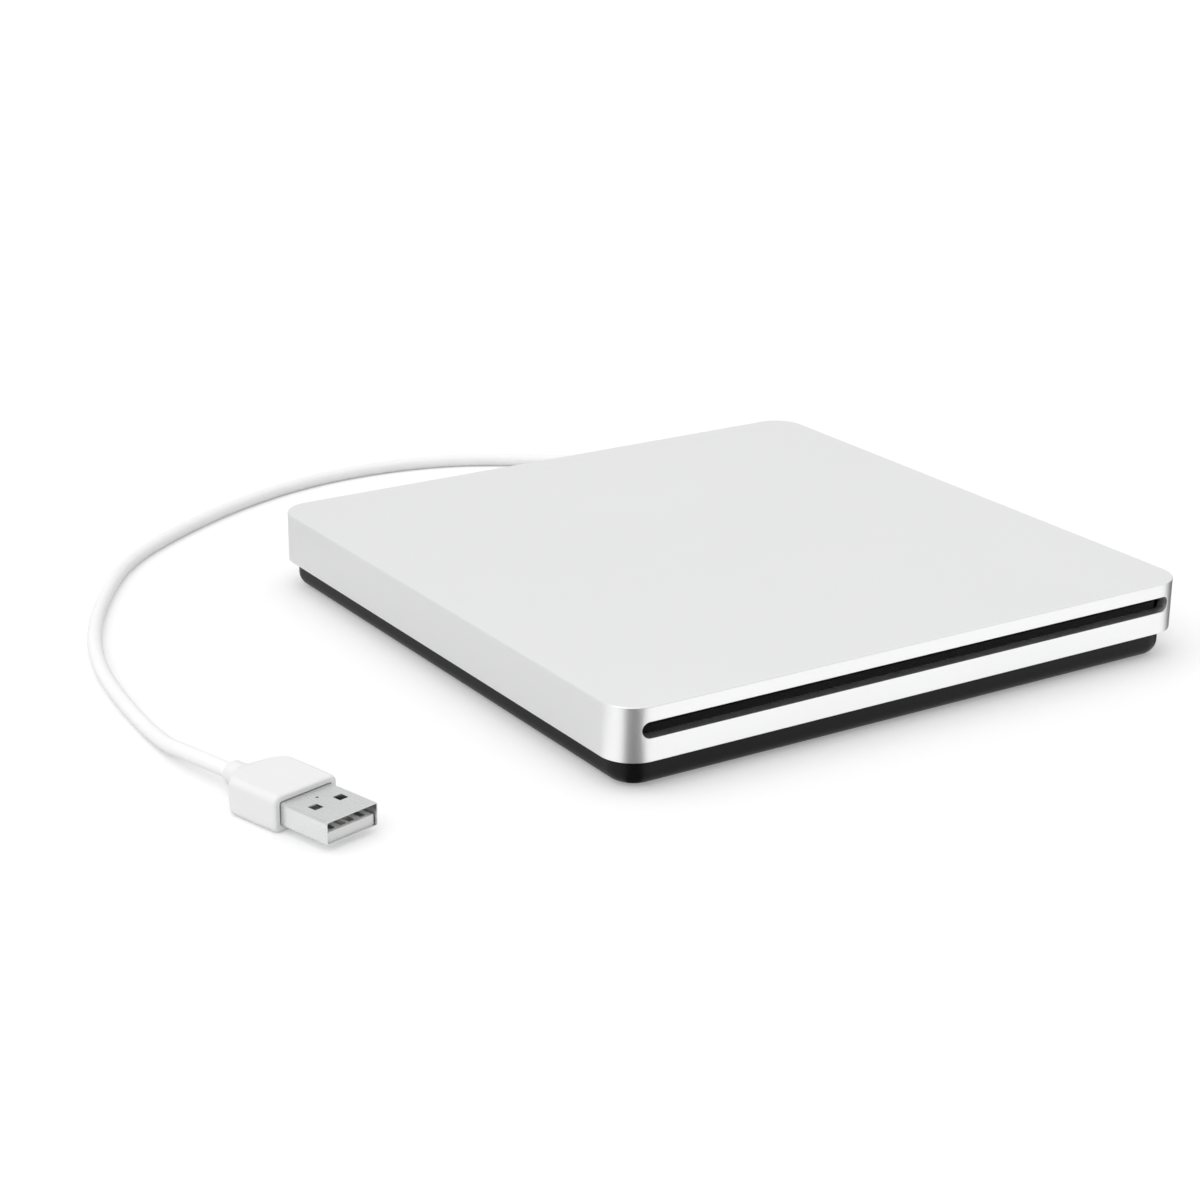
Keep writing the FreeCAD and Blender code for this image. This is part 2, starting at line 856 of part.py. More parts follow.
def top_cover():
    """The steel lid, drawn down in a shallow dish round the spindle, with side flanges."""
    y0 = chassis_front + cover_flange_inset
    y1 = chassis_back - cover_flange_inset
    inner = chassis_side + cover_gap
    lid = chassis_slab(0, cover_under, chassis_top)
    lid = lid.fuse(box(-inner - sheet, inner + sheet, y0, y1, cover_under, chassis_top))
    for x in (-inner - sheet, inner):
        lid = lid.fuse(box(x, x + sheet, y0, y1, cover_under - cover_flange, chassis_top))
    rim = dish_radius + dish_slope
    low = cover_under - dish_depth
    lid = lid.cut(post(0, spindle_y, cover_under - past, chassis_top + past, rim, large_sides))
    dish = turned([(dish_hole, low), (dish_radius, low), (rim, cover_under), (rim, chassis_top),
                   (dish_radius, low + sheet), (dish_hole, low + sheet)], 0, spindle_y, large_sides)
    return lid.fuse(dish).removeSplitter()


def slot_felt(z0, z1):
    """One of the two felt strips behind the slot that keep dust out and wipe the disc."""
    y0 = front_y + shell_front_wall
    strip = box(-case_width / 2, case_width / 2, y0, y0 + felt_thickness, z0, z1)
    return strip.common(shell_hollow())


def dampers():
    """Thin rubber pads between the cover and the shell."""
    half_x = damper_length / 2
    half_y = damper_width / 2
    pads = []
    for x in (damper_inset - chassis_side, chassis_side - damper_inset):
        for y in (chassis_front + damper_inset, chassis_back - damper_inset):
            pads.append(box(x - half_x, x + half_x, y - half_y, y + half_y, chassis_top, shell_ceiling))
    return Part.makeCompound(pads)


# Pivots

def stud(x, y, seat, top):
    """A riveted pivot: a collar under the piece, a round bearing and a head over it."""
    low = seat - stud_gap
    high = top + stud_gap
    solid = post(x, y, chassis_floor, low, stud_collar, fine_sides)
    solid = solid.fuse(round_post(x, y, low, high, stud_radius))
    return solid.fuse(post(x, y, high, high + head_height, stud_head, fine_sides))


def pivot_studs():
    return Part.makeCompound([
        stud(worm_gear_x, worm_gear_y, gear_level_low, gear_level_mid + gear_width),
        stud(train_gear_x, train_gear_y, gear_level_low, rack_top),
        stud(corner_x, corner_y, gear_level_top, rack_top),
        stud(right_pivot_x, right_pivot_y, arm_level, arm_top),
        stud(lever_pivot_x, lever_pivot_y, arm_level, arm_top),
    ])


def left_arm_stud():
    """The headed rivet under the cover that the left arm turns on."""
    x, y = left_pivot_x, left_pivot_y
    high = left_arm_level + arm_thickness + stud_gap
    low = left_arm_level - stud_gap
    solid = post(x, y, high, cover_under, stud_collar, fine_sides)
    solid = solid.fuse(round_post(x, y, low, high, stud_radius))
    return solid.fuse(post(x, y, low - head_height, low, stud_head, fine_sides))


# Loading motor and gears

def worm_gear():
    """The compound gear: a wheel in the worm and a pinion below it."""
    x, y = worm_gear_x, worm_gear_y
    half_tooth = 180 / worm_teeth
    pinion_top = gear_level_low + gear_width
    wheel = gear(x, y, gear_level_mid, gear_level_mid + gear_width, worm_teeth, train_module, half_tooth - 90)
    towards = direction(x, y, train_gear_x, train_gear_y)
    pinion = gear(x, y, gear_level_low, pinion_top, train_pinion_teeth, train_module, towards)
    hub = post(x, y, pinion_top, gear_level_mid, train_pinion_radius - gear_hub_gap)
    return bored(wheel.fuse(pinion).fuse(hub), x, y)


def train_gear():
    """The compound gear between the worm gear and the slider's rack."""
    x, y = train_gear_x, train_gear_y
    half_tooth = 180 / train_gear_teeth
    phase = direction(x, y, worm_gear_x, worm_gear_y) + half_tooth
    wheel_top = gear_level_low + gear_width
    wheel = gear(x, y, gear_level_low, wheel_top, train_gear_teeth, train_module, phase)
    pinion = gear(x, y, gear_level_top, rack_top, drive_pinion_teeth, rack_module, 0)
    hub = post(x, y, wheel_top, gear_level_top, train_pinion_radius)
    return bored(wheel.fuse(pinion).fuse(hub), x, y)


def corner_pinion():
    return bored(gear(corner_x, corner_y, gear_level_top, rack_top, corner_teeth, rack_module, 0), corner_x, corner_y)


def thread_section(turn, pitch, core):
    """The four corners of the worm's thread where it has made that many turns."""
    slope = math.tan(pressure_angle)
    height = addendum * train_module
    pitch_half = (pitch / 2 - backlash) / 2
    root_half = pitch_half + (worm_pitch_radius - core) * slope
    tip_half = pitch_half - height * slope
    tip = worm_pitch_radius + height
    corners = []
    for radius, offset in ((core, -root_half), (tip, -tip_half), (tip, tip_half), (core, root_half)):
        x, y = polar(0, 0, radius, 360 * turn)
        corners.append(Vector(x, y, turn * pitch + offset))
    return corners


def thread(turns, pitch, core):
    """A helical thread with flat faces, centred on the origin."""
    steps = round(turns * thread_steps)
    sections = [thread_section((number - steps / 2) / thread_steps, pitch, core) for number in range(steps + 1)]
    faces = [flat_face(sections[0]), flat_face(sections[-1])]
    for section, following in zip(sections, sections[1:]):
        for near in range(4):
            far = (near + 1) % 4
            faces.append(flat_face([section[near], section[far], following[far]]))
            faces.append(flat_face([section[near], following[far], following[near]]))
    return closed_solid(faces)


def worm():
    """A single-start worm: a core with one helical thread, its bore on the motor's shaft."""
    pitch = math.pi * train_module
    core = worm_pitch_radius - dedendum * train_module
    half = worm_length / 2
    turns = int(2 * (worm_length - pitch) / pitch) / 2
    sunk = 0.15
    body = post(0, 0, -half, half, core, thread_steps).fuse(thread(turns, pitch, core - sunk))
    body = body.cut(hole(0, 0, -worm_length, worm_length, motor_shaft_radius, fine_sides))
    body.rotate(Vector(0, 0, 0), Vector(1, 1, 1), 120)
    body.translate(Vector(worm_gear_x, worm_y, worm_height))
    return body.removeSplitter()


def on_worm_axis(x):
    return Vector(x, worm_y, worm_height)


def loading_motor():
    back = motor_face_x - motor_length
    can = rod(on_worm_axis(back), on_worm_axis(motor_face_x), motor_radius)
    can = can.common(box(back, motor_face_x, worm_y - motor_radius, worm_y + motor_radius,
                         worm_height - motor_flat, worm_height + motor_flat))
    can = can.fuse(rod(on_worm_axis(back - motor_cap), on_worm_axis(back), motor_nose_radius))
    can = can.fuse(rod(on_worm_axis(motor_face_x), on_worm_axis(motor_face_x + motor_nose), motor_nose_radius))
    sleeve = bore(on_worm_axis(motor_face_x - 2 * motor_nose), on_worm_axis(motor_face_x + 2 * motor_nose),
                  motor_shaft_radius + bore_clearance, fine_sides)
    return can.cut(sleeve).removeSplitter()


def motor_bracket():
    """The folded bracket that the loading motor is screwed to, with the shaft's end bearing."""
    start = motor_face_x
    end = bearing_x + bearing_width
    near = worm_y - motor_radius - bracket_side
    far = worm_y + motor_radius + bracket_side
    plate = box(start, start + bracket_sheet, near, far, chassis_floor, worm_height + motor_flat)
    plate = plate.cut(bore(on_worm_axis(start - past), on_worm_axis(start + past), motor_nose_radius + bore_clearance))
    foot = box(start, end, near, worm_y - worm_pitch_radius - gear_hub_gap, chassis_floor, chassis_floor + bracket_sheet)
    bearing = box(bearing_x, end, near, worm_y + bearing_rim, chassis_floor, worm_height + bearing_rim)
    bearing = bearing.cut(bore(on_worm_axis(bearing_x - past), on_worm_axis(end + past),
                               motor_shaft_radius + bore_clearance, fine_sides))
    return plate.fuse(foot).fuse(bearing).removeSplitter()


def motor_shaft():
    start = motor_face_x - 1.5 * motor_nose
    return round_rod(on_worm_axis(start), on_worm_axis(bearing_x + bearing_width), motor_shaft_radius)


# Sliders

def slider_room(back):
    """The chassis' inside less the gap that a slider keeps from its walls, moved forwards by back."""
    room = chassis_slab(sheet + slider_end_gap, chassis_floor, chassis_top)
    room.translate(Vector(0, -back, 0))
    return room


def lift_pin_start():
    """The lift pin's middle, in the wall, with the traverse lowered."""
    return lowered(Part.Vertex(lift_wall_x + lift_wall / 2, lift_pin_y, lift_pin_height)).Point


def ramp_slot():
    """The sloping slot that lifts the pin as the slider goes back."""
    low = lift_pin_start().z
    radius = lift_pin_radius + slot_clearance
    reach = math.hypot(slider_travel, lift_pin_height - low)
    slot = link(0, 0, radius, reach, 0, radius, -past, lift_wall + past)
    slot.rotate(Vector(0, 0, 0), Vector(1, 1, 1), 120)
    slot.rotate(Vector(0, 0, 0), Vector(1, 0, 0), 180 - math.degrees(math.asin((lift_pin_height - low) / reach)))
    slot.translate(Vector(lift_wall_x, lift_pin_y, low))
    return slot


def cam_slider():
    """The main slider: a bar with three racks, and a leg that ends in the lift wall."""
    root = rack_line_x + rack_depth
    back = root + slider_bar
    slider = box(root, back, slider_front, slider_back, slider_bottom, rack_top)
    for contact in (train_gear_y, right_pivot_y, corner_y):
        teeth = rack(contact - slider_travel - rack_reach, contact + rack_reach, contact, gear_level_top, rack_top)
        teeth.rotate(Vector(0, 0, 0), UP, 90)
        teeth.translate(Vector(rack_line_x, 0, 0))
        slider = slider.fuse(teeth)
    leg_front = lift_pin_y - lift_wall_end - past
    leg_back = lift_pin_y + lift_wall_end
    slider = slider.fuse(box(root, root + leg_web, leg_front, leg_back, leg_level, slider_bottom + past))
    slider = slider.fuse(box(lift_wall_x, root + leg_web, leg_front, leg_back, leg_level, leg_level + leg_thickness))
    wall = box(lift_wall_x, lift_wall_x + lift_wall, lift_pin_y - slider_travel - lift_wall_end, leg_back,
               leg_level, lift_pin_height + lift_wall_over_pin)
    slider = slider.fuse(wall).cut(ramp_slot())
    half = slider_slot_length / 2
    rim = slider_bar / 4
    for y in (right_pivot_y - 22.0, right_pivot_y + 28.0):
        slider = slider.cut(box(root + rim, back - rim, y - half, y + half, slider_bottom + past, rack_top + past))
    return slider.common(slider_room(slider_travel)).removeSplitter()


def cross_slider():
    """The rear slider, driven across the drive by the corner pinion."""
    root = cross_line_y + rack_depth
    back = root + cross_bar
    start = lever_pivot_x - rack_reach
    end = corner_x + slider_travel + rack_reach
    slider = box(start, end, root, back, cross_bottom, cross_bottom + cross_thickness)
    lag = math.radians(90 % (360 / corner_teeth)) * corner_radius
    for contact, gap in ((corner_x, corner_x + lag), (lever_pivot_x, lever_pivot_x)):
        x0 = contact - rack_reach
        x1 = contact + slider_travel + rack_reach
        teeth = rack(-x1, -x0, -gap, gear_level_top, rack_top)
        teeth.rotate(Vector(0, 0, 0), UP, 180)
        teeth.translate(Vector(0, cross_line_y, 0))
        slider = slider.fuse(teeth).fuse(box(x0, x1, root, back, cross_bottom, rack_top))
    half = cross_slot_length / 2
    rim = cross_bar / 4
    middle = (start + end) / 2
    for x in (middle - 20.0, middle, middle + 20.0):
        slider = slider.cut(box(x - half, x + half, root + rim, back - rim, cross_bottom - past, rack_top))
    return slider.common(slider_room(0)).removeSplitter()


# Arms that guide and move the disc

def swung(x, y, play_angle, degrees):
    """The end of an arm about its pivot, turned that far from its place at the rim of a playing disc."""
    end_x, end_y = polar(0, spindle_y, play_radius, play_angle)
    return polar(x, y, math.hypot(end_x - x, end_y - y), direction(x, y, end_x, end_y) + degrees)


def right_arm_end():
    """The roller's place with the drive waiting for a disc."""
    return swung(right_pivot_x, right_pivot_y, right_play_angle, -swing)


def lever_end():
    return swung(lever_pivot_x, lever_pivot_y, lever_play_angle, -swing)


def left_arm_end():
    return swung(left_pivot_x, left_pivot_y, left_play_angle, -left_swing)


def roller_post(x, y, start):
    """A post for a roller: a collar, a round bearing and a head."""
    low = roller_low - roller_gap
    high = roller_low + roller_height + roller_gap
    solid = post(x, y, start, low, post_collar, fine_sides)
    solid = solid.fuse(round_post(x, y, low, high, post_radius))
    return solid.fuse(post(x, y, high, high + head_height, post_head, fine_sides))


def geared_arm(x, y, end, contact):
    """A steel arm with a toothed sector at its pivot and a post for the roller at its end."""
    tooth_angle = 360 / sector_teeth
    first = contact - (math.ceil(swing / tooth_angle) + 1.5) * tooth_angle
    last = contact + 1.5 * tooth_angle
    arm = sector(x, y, arm_level, arm_top, contact, first, last)
    arm = arm.fuse(link(x, y, arm_hub, end[0], end[1], arm_tip, arm_level, arm_top))
    return bored(arm, x, y).fuse(roller_post(end[0], end[1], arm_top)).removeSplitter()


def right_arm():
    return geared_arm(right_pivot_x, right_pivot_y, right_arm_end(), 0)


def eject_lever():
    return geared_arm(lever_pivot_x, lever_pivot_y, lever_end(), 90)


def left_arm():
    """The sprung guide arm under the cover, its post hanging down to the disc's level."""
    x, y = left_pivot_x, left_pivot_y
    end = left_arm_end()
    arm = link(x, y, left_arm_hub, end[0], end[1], left_arm_tip, left_arm_level, left_arm_level + arm_thickness)
    low = roller_low - roller_gap
    arm = bored(arm, x, y).fuse(round_post(end[0], end[1], low, left_arm_level, post_radius))
    return arm.fuse(post(end[0], end[1], low - head_height, low, post_head, fine_sides)).removeSplitter()


def roller(end, top):
    """A waisted roller that the disc's edge runs in."""
    wide = roller_radius + roller_flange
    inner = (post_radius + bore_clearance) / math.cos(math.pi / small_sides)
    flange_top = roller_low + roller_flange_height
    flange_low = top - roller_flange_height
    profile = [(inner, roller_low), (wide, roller_low), (wide, flange_top), (roller_radius, flange_top + roller_slope),
               (roller_radius, flange_low - roller_slope), (wide, flange_low), (wide, top), (inner, top)]
    return turned(profile, end[0], end[1])


def arm_roller(end):
    return roller(end, roller_low + roller_height)


def left_roller():
    return roller(left_arm_end(), left_arm_level - roller_gap)


# Traverse

def frame_plate_solid():
    """The frame's plate, open for the pick-up's path and for the feed motor."""
    low = -frame_low_side
    high = frame_high_side
    top = frame_top
    outline = [(0, low), (frame_end - frame_low_chamfer, low), (frame_end, low + frame_low_chamfer),
               (frame_end, high - frame_chamfer), (frame_end - frame_chamfer, high), (0, high)]
    plate = prism(outline, frame_level, top).fuse(post(0, 0, frame_level, top, hub_end_radius, large_sides))
    path_start = lens_inner - sled_inner_side - past
    plate = plate.cut(box(path_start, frame_window_end, low + frame_rail, high - frame_rail,
                          frame_level - past, top + past))
    gap = rod_end_gap
    side = feed_motor_radius + gap
    return plate.cut(box(feed_motor_start - gap, feed_motor_end + gap, -screw_offset - side, -screw_offset + side,
                         frame_level - past, top + past))


def frame_seats():
    """Upstands on the frame: ribs along its sides, and seats for the rods and the lead screw."""
    low = -frame_low_side
    high = frame_high_side
    seats = [box(frame_rib_start, frame_window_end, high - frame_rib, high, frame_top, frame_rib_top),
             box(frame_rib_start, frame_window_end, low, low + frame_rib, frame_top, frame_rib_top)]
    half = rod_radius + bush_wall - rod_end_gap
    for u0, u1 in ((rod_start, rod_start + rod_seat), (frame_window_end, frame_end - rod_end_gap)):
        for v in (-rod_offset, rod_offset):
            seats.append(box(u0, u1, v - half, v + half, frame_level, frame_rib_top))
    bearing = frame_window_end - screw_bearing_inset
    motor_mount = feed_motor_end + rod_end_gap
    for u0, u1 in ((bearing, bearing + screw_bearing), (motor_mount, motor_mount + past)):
        seats.append(box(u0, u1, low, -screw_offset + screw_radius + gear_hub_gap, frame_level, frame_rib_top))
    return seats


def lift_pin():
    """The pin on its ear that runs in the main slider's ramp slot."""
    ear = box(lift_ear_x - lift_ear_length, lift_ear_x, lift_pin_y - lift_ear_half, lift_pin_y + lift_ear_half,
              frame_level, lift_pin_height + past)
    pin = rod(Vector(lift_ear_x - past, lift_pin_y, lift_pin_height),
              Vector(lift_wall_x + lift_wall + lift_pin_end, lift_pin_y, lift_pin_height), lift_pin_radius)
    return lowered(ear.fuse(pin))


def traverse_frame():
    """The tilting frame, with seats for the rods, hinge pins and the lift pin."""
    frame = frame_plate_solid()
    for seat in frame_seats():
        frame = frame.fuse(seat)
    bearing_end = frame_window_end - past
    for v, start, end, radius in ((-rod_offset, rod_start, frame_end, rod_radius),
                                  (rod_offset, rod_start, frame_end, slave_rod_radius),
                                  (-screw_offset, feed_motor_end, bearing_end, screw_radius + bore_clearance)):
        frame = frame.cut(bore(*along_traverse(start - past / 2, end + past, v), radius, fine_sides))
    frame = frame.cut(hole(0, 0, frame_level - past, frame_top + past, sleeve_radius))
    for v0, v1 in ((frame_high_side - 1.0, frame_high_side + hinge_reach_out),
                   (1.0 - frame_low_side, -frame_low_side - hinge_reach_out)):
        frame = frame.fuse(round_rod(Vector(hinge_reach, v0, frame_middle), Vector(hinge_reach, v1, frame_middle),
                                     hinge_pin_radius))
    return to_traverse(frame).fuse(lift_pin()).removeSplitter()


def hinge_brackets():
    """Two brackets on the chassis floor that the traverse's pins turn in."""
    group = []
    u0 = hinge_reach - hinge_bracket_half
    u1 = hinge_reach + hinge_bracket_half
    for side, face in ((1, frame_high_side), (-1, frame_low_side)):
        near = side * (face + hinge_bracket_gap)
        far = near + side * hinge_bracket
        foot = far + side * hinge_foot
        plate = box(u0, u1, min(near, far), max(near, far), chassis_floor, frame_middle + 2 * hinge_pin_radius)
        plate = plate.fuse(box(u0, u1, min(near, foot), max(near, foot), chassis_floor, chassis_floor + sheet))
        plate = plate.cut(bore(Vector(hinge_reach, near - side, frame_middle),
                               Vector(hinge_reach, foot + side, frame_middle), hinge_pin_radius + bore_clearance))
        group.append(above_spindle(plate.removeSplitter()))
    return Part.makeCompound(group)


def guide_rods():
    end = frame_end - rod_end_gap
    main = rod(*along_traverse(rod_start, end, -rod_offset), rod_radius, fine_sides)
    slave = rod(*along_traverse(rod_start, end, rod_offset), slave_rod_radius, fine_sides)
    return to_traverse(Part.makeCompound([main, slave]))


def feed_motor():
    can = rod(*along_traverse(feed_motor_start, feed_motor_end, -screw_offset), feed_motor_radius)
    nose = rod(*along_traverse(feed_motor_end, feed_motor_end + rod_end_gap - 0.1, -screw_offset),
               screw_radius + bush_wall)
    sleeve = bore(*along_traverse(feed_motor_end - past, feed_motor_end + past, -screw_offset),
                  screw_radius + bore_clearance, fine_sides)
    return to_traverse(can.fuse(nose).cut(sleeve).removeSplitter())


def lead_screw():
    start = feed_motor_end - 0.8 * past
    end = frame_window_end - screw_bearing_inset + screw_bearing
    return to_traverse(round_rod(*along_traverse(start, end, -screw_offset), screw_radius))


# Optical pick-up

def sled_tub():
    u0 = lens_inner - sled_inner_side
    u1 = lens_inner + sled_outer_side
    tub = box(u0, u1, -sled_half, sled_half, sled_bottom, sled_top)
    inner = sled_half - sled_wall
    return tub.cut(box(u0 + sled_wall, u1 - sled_wall, -inner, inner, sled_floor_top, sled_top + past))


def sled():
    """The pick-up's tub with two bushes on the main rod, a fork on the other and the follower."""
    u0 = lens_inner - sled_inner_side
    u1 = lens_inner + sled_outer_side
    tub = sled_tub()
    bush = rod_radius + bush_wall
    for start in (u0, u1 - bush_length):
        tub = tub.fuse(box(start, start + bush_length, -rod_offset - bush, -sled_half,
                           rod_height - bush, rod_height + bush_wall + bush_wall))
    near = lens_inner - follower_half
    far = lens_inner + follower_half
    reach = screw_radius + rod_end_gap
    bridge = rod_height + rod_radius + roller_gap
    tub = tub.fuse(box(near, far - past, -screw_offset - reach, -sled_half + past, bridge, sled_top))
    tub = tub.fuse(box(near, far - past, -screw_offset - reach, -screw_offset + reach, rod_height - reach, sled_top))
    jaw = slave_rod_radius + bore_clearance
    for z0 in (rod_height - jaw - jaw_thickness, rod_height + jaw):
        tub = tub.fuse(box(near, far, sled_half - past, rod_offset + 1.2 * slave_rod_radius, z0, z0 + jaw_thickness))
    tub = tub.cut(bore(*along_traverse(0, frame_end, -rod_offset), rod_radius + bore_clearance, fine_sides))
    tub = tub.cut(bore(*along_traverse(0, frame_end, -screw_offset), screw_radius + 2 * bore_clearance, fine_sides))
    return to_traverse(tub.removeSplitter())


def focus_magnets():
    group = []
    for v0, v1 in ((magnet_inner, magnet_outer), (-magnet_outer, -magnet_inner)):
        group.append(box(lens_inner - holder_half - holder_rise, lens_inner + holder_half - holder_gap, v0, v1,
                         sled_floor_top, sled_top))
    return to_traverse(Part.makeCompound(group))


def lens_holder():
    """The moving part of the lens suspension, free in the tub."""
    low = sled_floor_top + holder_gap
    high = sled_top + holder_rise
    seat = sled_top - 0.2
    holder = box(lens_inner - holder_half, lens_inner + holder_half, -holder_reach, holder_reach, low, high)
    holder = holder.cut(hole(lens_inner, 0, low - past, seat, lens_radius - 0.6))
    return to_traverse(holder.cut(hole(lens_inner, 0, seat, high + past, lens_radius)))


def lens():
    low = sled_top - 0.2
    profile = [(0, low), (lens_radius, low), (lens_radius, low + 0.7), (lens_radius - 0.7, low + 1.05), (0, low + 1.2)]
    return to_traverse(turned(profile, lens_inner, 0))


# Spindle motor and turntable

def spindle_base():
    """The steel plate and bearing sleeve that the spindle motor is built on."""
    low = frame_top - sleeve_drop
    plate = post(0, 0, frame_top, frame_top + base_plate, base_radius, large_sides)
    sleeve = post(0, 0, low, rotor_roof - rotor_gap, sleeve_radius)
    solid = plate.fuse(sleeve).cut(hole(0, 0, low + base_plate, case_height, shaft_radius + bore_clearance))
    return to_traverse(solid.removeSplitter())


def stator():
    """The laminated core: a ring with a pole and its shoe for each winding."""
    low = frame_top + base_plate + roller_gap
    high = low + stator_height
    ring = sleeve_radius + stator_ring
    shoe_inner = stator_radius - pole_shoe_depth
    corners = []
    for number in range(stator_poles):
        turn = math.radians(360 * number / stator_poles)
        side = [(ring, pole_neck / 2), (shoe_inner, pole_neck / 2),
                (shoe_inner, pole_shoe / 2), (stator_radius, pole_shoe / 2)]
        pole = [(u, -v) for u, v in side] + side[::-1]
        for u, v in pole:
            corners.append((u * math.cos(turn) - v * math.sin(turn), u * math.sin(turn) + v * math.cos(turn)))
    core = prism(corners, low, high)
    return to_traverse(core.cut(hole(0, 0, low - past, high + past, sleeve_radius)))


def ring_on_spindle(inner, outer, low, high):
    """A flat ring round the spindle."""
    disc = post(0, 0, low, high, outer, large_sides)
    return disc.cut(hole(0, 0, low - past, high + past, inner))


def spindle_rotor():
    skirt = frame_top + base_plate + rotor_gap
    cup = post(0, 0, skirt, table_low, rotor_radius, large_sides)
    cup = cup.cut(post(0, 0, skirt - past, rotor_roof, rotor_radius - rotor_wall, large_sides))
    return to_traverse(cup.cut(hole(0, 0, skirt, case_height, shaft_radius)))


def spindle_shaft():
    low = frame_top - sleeve_drop + base_plate + roller_gap
    return to_traverse(round_post(0, 0, low, turntable_top + hub_height - base_plate, shaft_radius))


def turntable():
    return to_traverse(ring_on_spindle(shaft_radius, table_radius, table_low, turntable_top - ring_thickness))


def rubber_ring():
    low = turntable_top - ring_thickness
    disc = post(0, 0, low, turntable_top, table_radius - 0.2, large_sides)
    return to_traverse(disc.cut(hole(0, 0, low - past, turntable_top + past, ring_bore, large_sides)))


def claw_slots(width):
    slots = []
    for number in range(claws):
        slot = box(claw_inner, disc_hole, -width / 2, width / 2, turntable_top, turntable_top + 2 * hub_height)
        slot.rotate(Vector(0, 0, 0), UP, 360 / claws * number)
        slots.append(slot)
    return slots


def centring_hub():
    low = turntable_top - ring_thickness
    wide = disc_hole / 2 - hub_clearance
    top = turntable_top + hub_height
    profile = [(0, low), (wide, low), (wide, top - ring_thickness), (wide - hub_chamfer, top), (0, top)]
    hub = turned(profile, sides=large_sides)
    for slot in claw_slots(claw_width + 2 * claw_side_gap):
        hub = hub.cut(slot)
    return to_traverse(hub.cut(hole(0, 0, low - past, top + past, shaft_radius)))


def disc_claws():
    """Three sprung claws that hold the disc down on the turntable."""
    low = turntable_top
    profile = [(0, low), (claw_radius, low), (claw_radius, low + 1.1), (claw_radius + claw_bump, low + 1.3),
               (claw_radius, low + 1.7), (0, low + 1.7)]
    whole = turned(profile)
    return to_traverse(Part.makeCompound([whole.common(slot) for slot in claw_slots(claw_width)]))


# Boards

def board_piece(across, back, wide, deep, high):
    """A chip or socket whose middle is placed as shares of the main board's width and depth."""
    x = main_board_left + across * main_board_width
    y = main_board_front + back * (main_board_back - main_board_front)
    return box(x - wide / 2, x + wide / 2, y - deep / 2, y + deep / 2, main_board_top, main_board_top + high)


def main_board():
    return box(main_board_left, main_board_right, main_board_front, main_board_back, main_board_level, main_board_top)


def main_board_chips():
    return Part.makeCompound([
        board_piece(0.33, 0.34, 12.0, 12.0, 1.0),
        board_piece(0.65, 0.28, 7.0, 7.0, 0.9),
        board_piece(0.15, 0.65, 6.0, 5.0, 0.8),
        board_piece(0.40, 0.66, 8.0, 4.0, 0.8),
        board_piece(0.86, 0.52, 4.0, 3.0, 1.4),
        board_piece(0.70, 0.65, 3.0, 4.0, 1.4),
    ])


def cable_sockets():
    return Part.makeCompound([
        board_piece(0.20, 0.06, 14.0, 3.0, 1.6),
        board_piece(0.60, 0.06, 9.0, 3.0, 1.6),
        board_piece(0.92, 0.22, 3.0, 8.0, 1.6),
    ])


def board_plug():
    """The drive's own plug, on the main board's rear edge and out through the chassis."""
    return box(socket_left, socket_right, main_board_back - socket_depth, chassis_back + plug_stand_out,
               socket_level, socket_level + socket_height)


def board_socket():
    rim = 2 * socket_rim
    return box(socket_left - rim, socket_right + rim, chassis_back + plug_stand_out, bridge_board_front,
               socket_level - socket_rim, socket_level + socket_height + socket_rim)


def bridge_board():
    return box(bridge_board_right - bridge_board_length, bridge_board_right, bridge_board_front,
               bridge_board_front + board_thickness, tray_floor_top, shell_ceiling - bridge_board_under_top)


def bridge_piece(x, z, wide, deep, high):
    """A chip on the bridge board's front, its low left corner set from the drive's socket and the tray."""
    x += socket_right + 2 * socket_rim
    z += tray_floor_top
    return box(x, x + wide, bridge_board_front - deep, bridge_board_front, z, z + high)


def bridge_chip():
    return Part.makeCompound([
        bridge_piece(4.4, 3.2, 7.0, 1.0, 7.0),
        bridge_piece(14.4, 5.2, 3.2, 0.9, 2.5),
        bridge_piece(19.4, 2.2, 2.0, 0.8, 2.0),
    ])


# Lead and plug

def cord_boot():
    """The strain relief: a flange inside the tray, a neck through its wall and a ringed, tapering sleeve."""
    seat = -tray_wall / 2
    profile = [(0, -tray_wall - boot_flange), (boot_flange_radius, -tray_wall - boot_flange),
               (boot_flange_radius, -tray_wall), (boot_neck_radius, -tray_wall), (boot_neck_radius, seat),
               (boot_radius, seat)]
    step = (boot_length - 2 * boot_ring_start) / boot_rings
    groove = 0.4 * step
    for number in range(boot_rings):
        start = boot_ring_start + number * step
        radius = boot_radius + (boot_tip_radius - boot_radius) * start / boot_length
        inner = radius - boot_ring_depth
        profile += [(radius, start), (inner, start), (inner, start + groove), (radius, start + groove)]
    profile += [(boot_tip_radius, boot_length), (0, boot_length)]
    wall = Vector(cord_exit_x, tray_back_face, cord_exit_height)
    boot = laid(turned(profile), wall, wall + Vector(0, 1, 0))
    under = 2 * boot_flange_radius
    trim = box(cord_exit_x - under, cord_exit_x + under, tray_back_face - under, tray_back_face - tray_wall,
               0, tray_floor_top)
    return boot.cut(trim).removeSplitter()


def plug_line(distance):
    """A point on the plug's middle line, that far back from the front of its grip."""
    x, y = polar(plug_x, plug_y, -distance, plug_turn)
    return Vector(x, y, grip_height / 2)


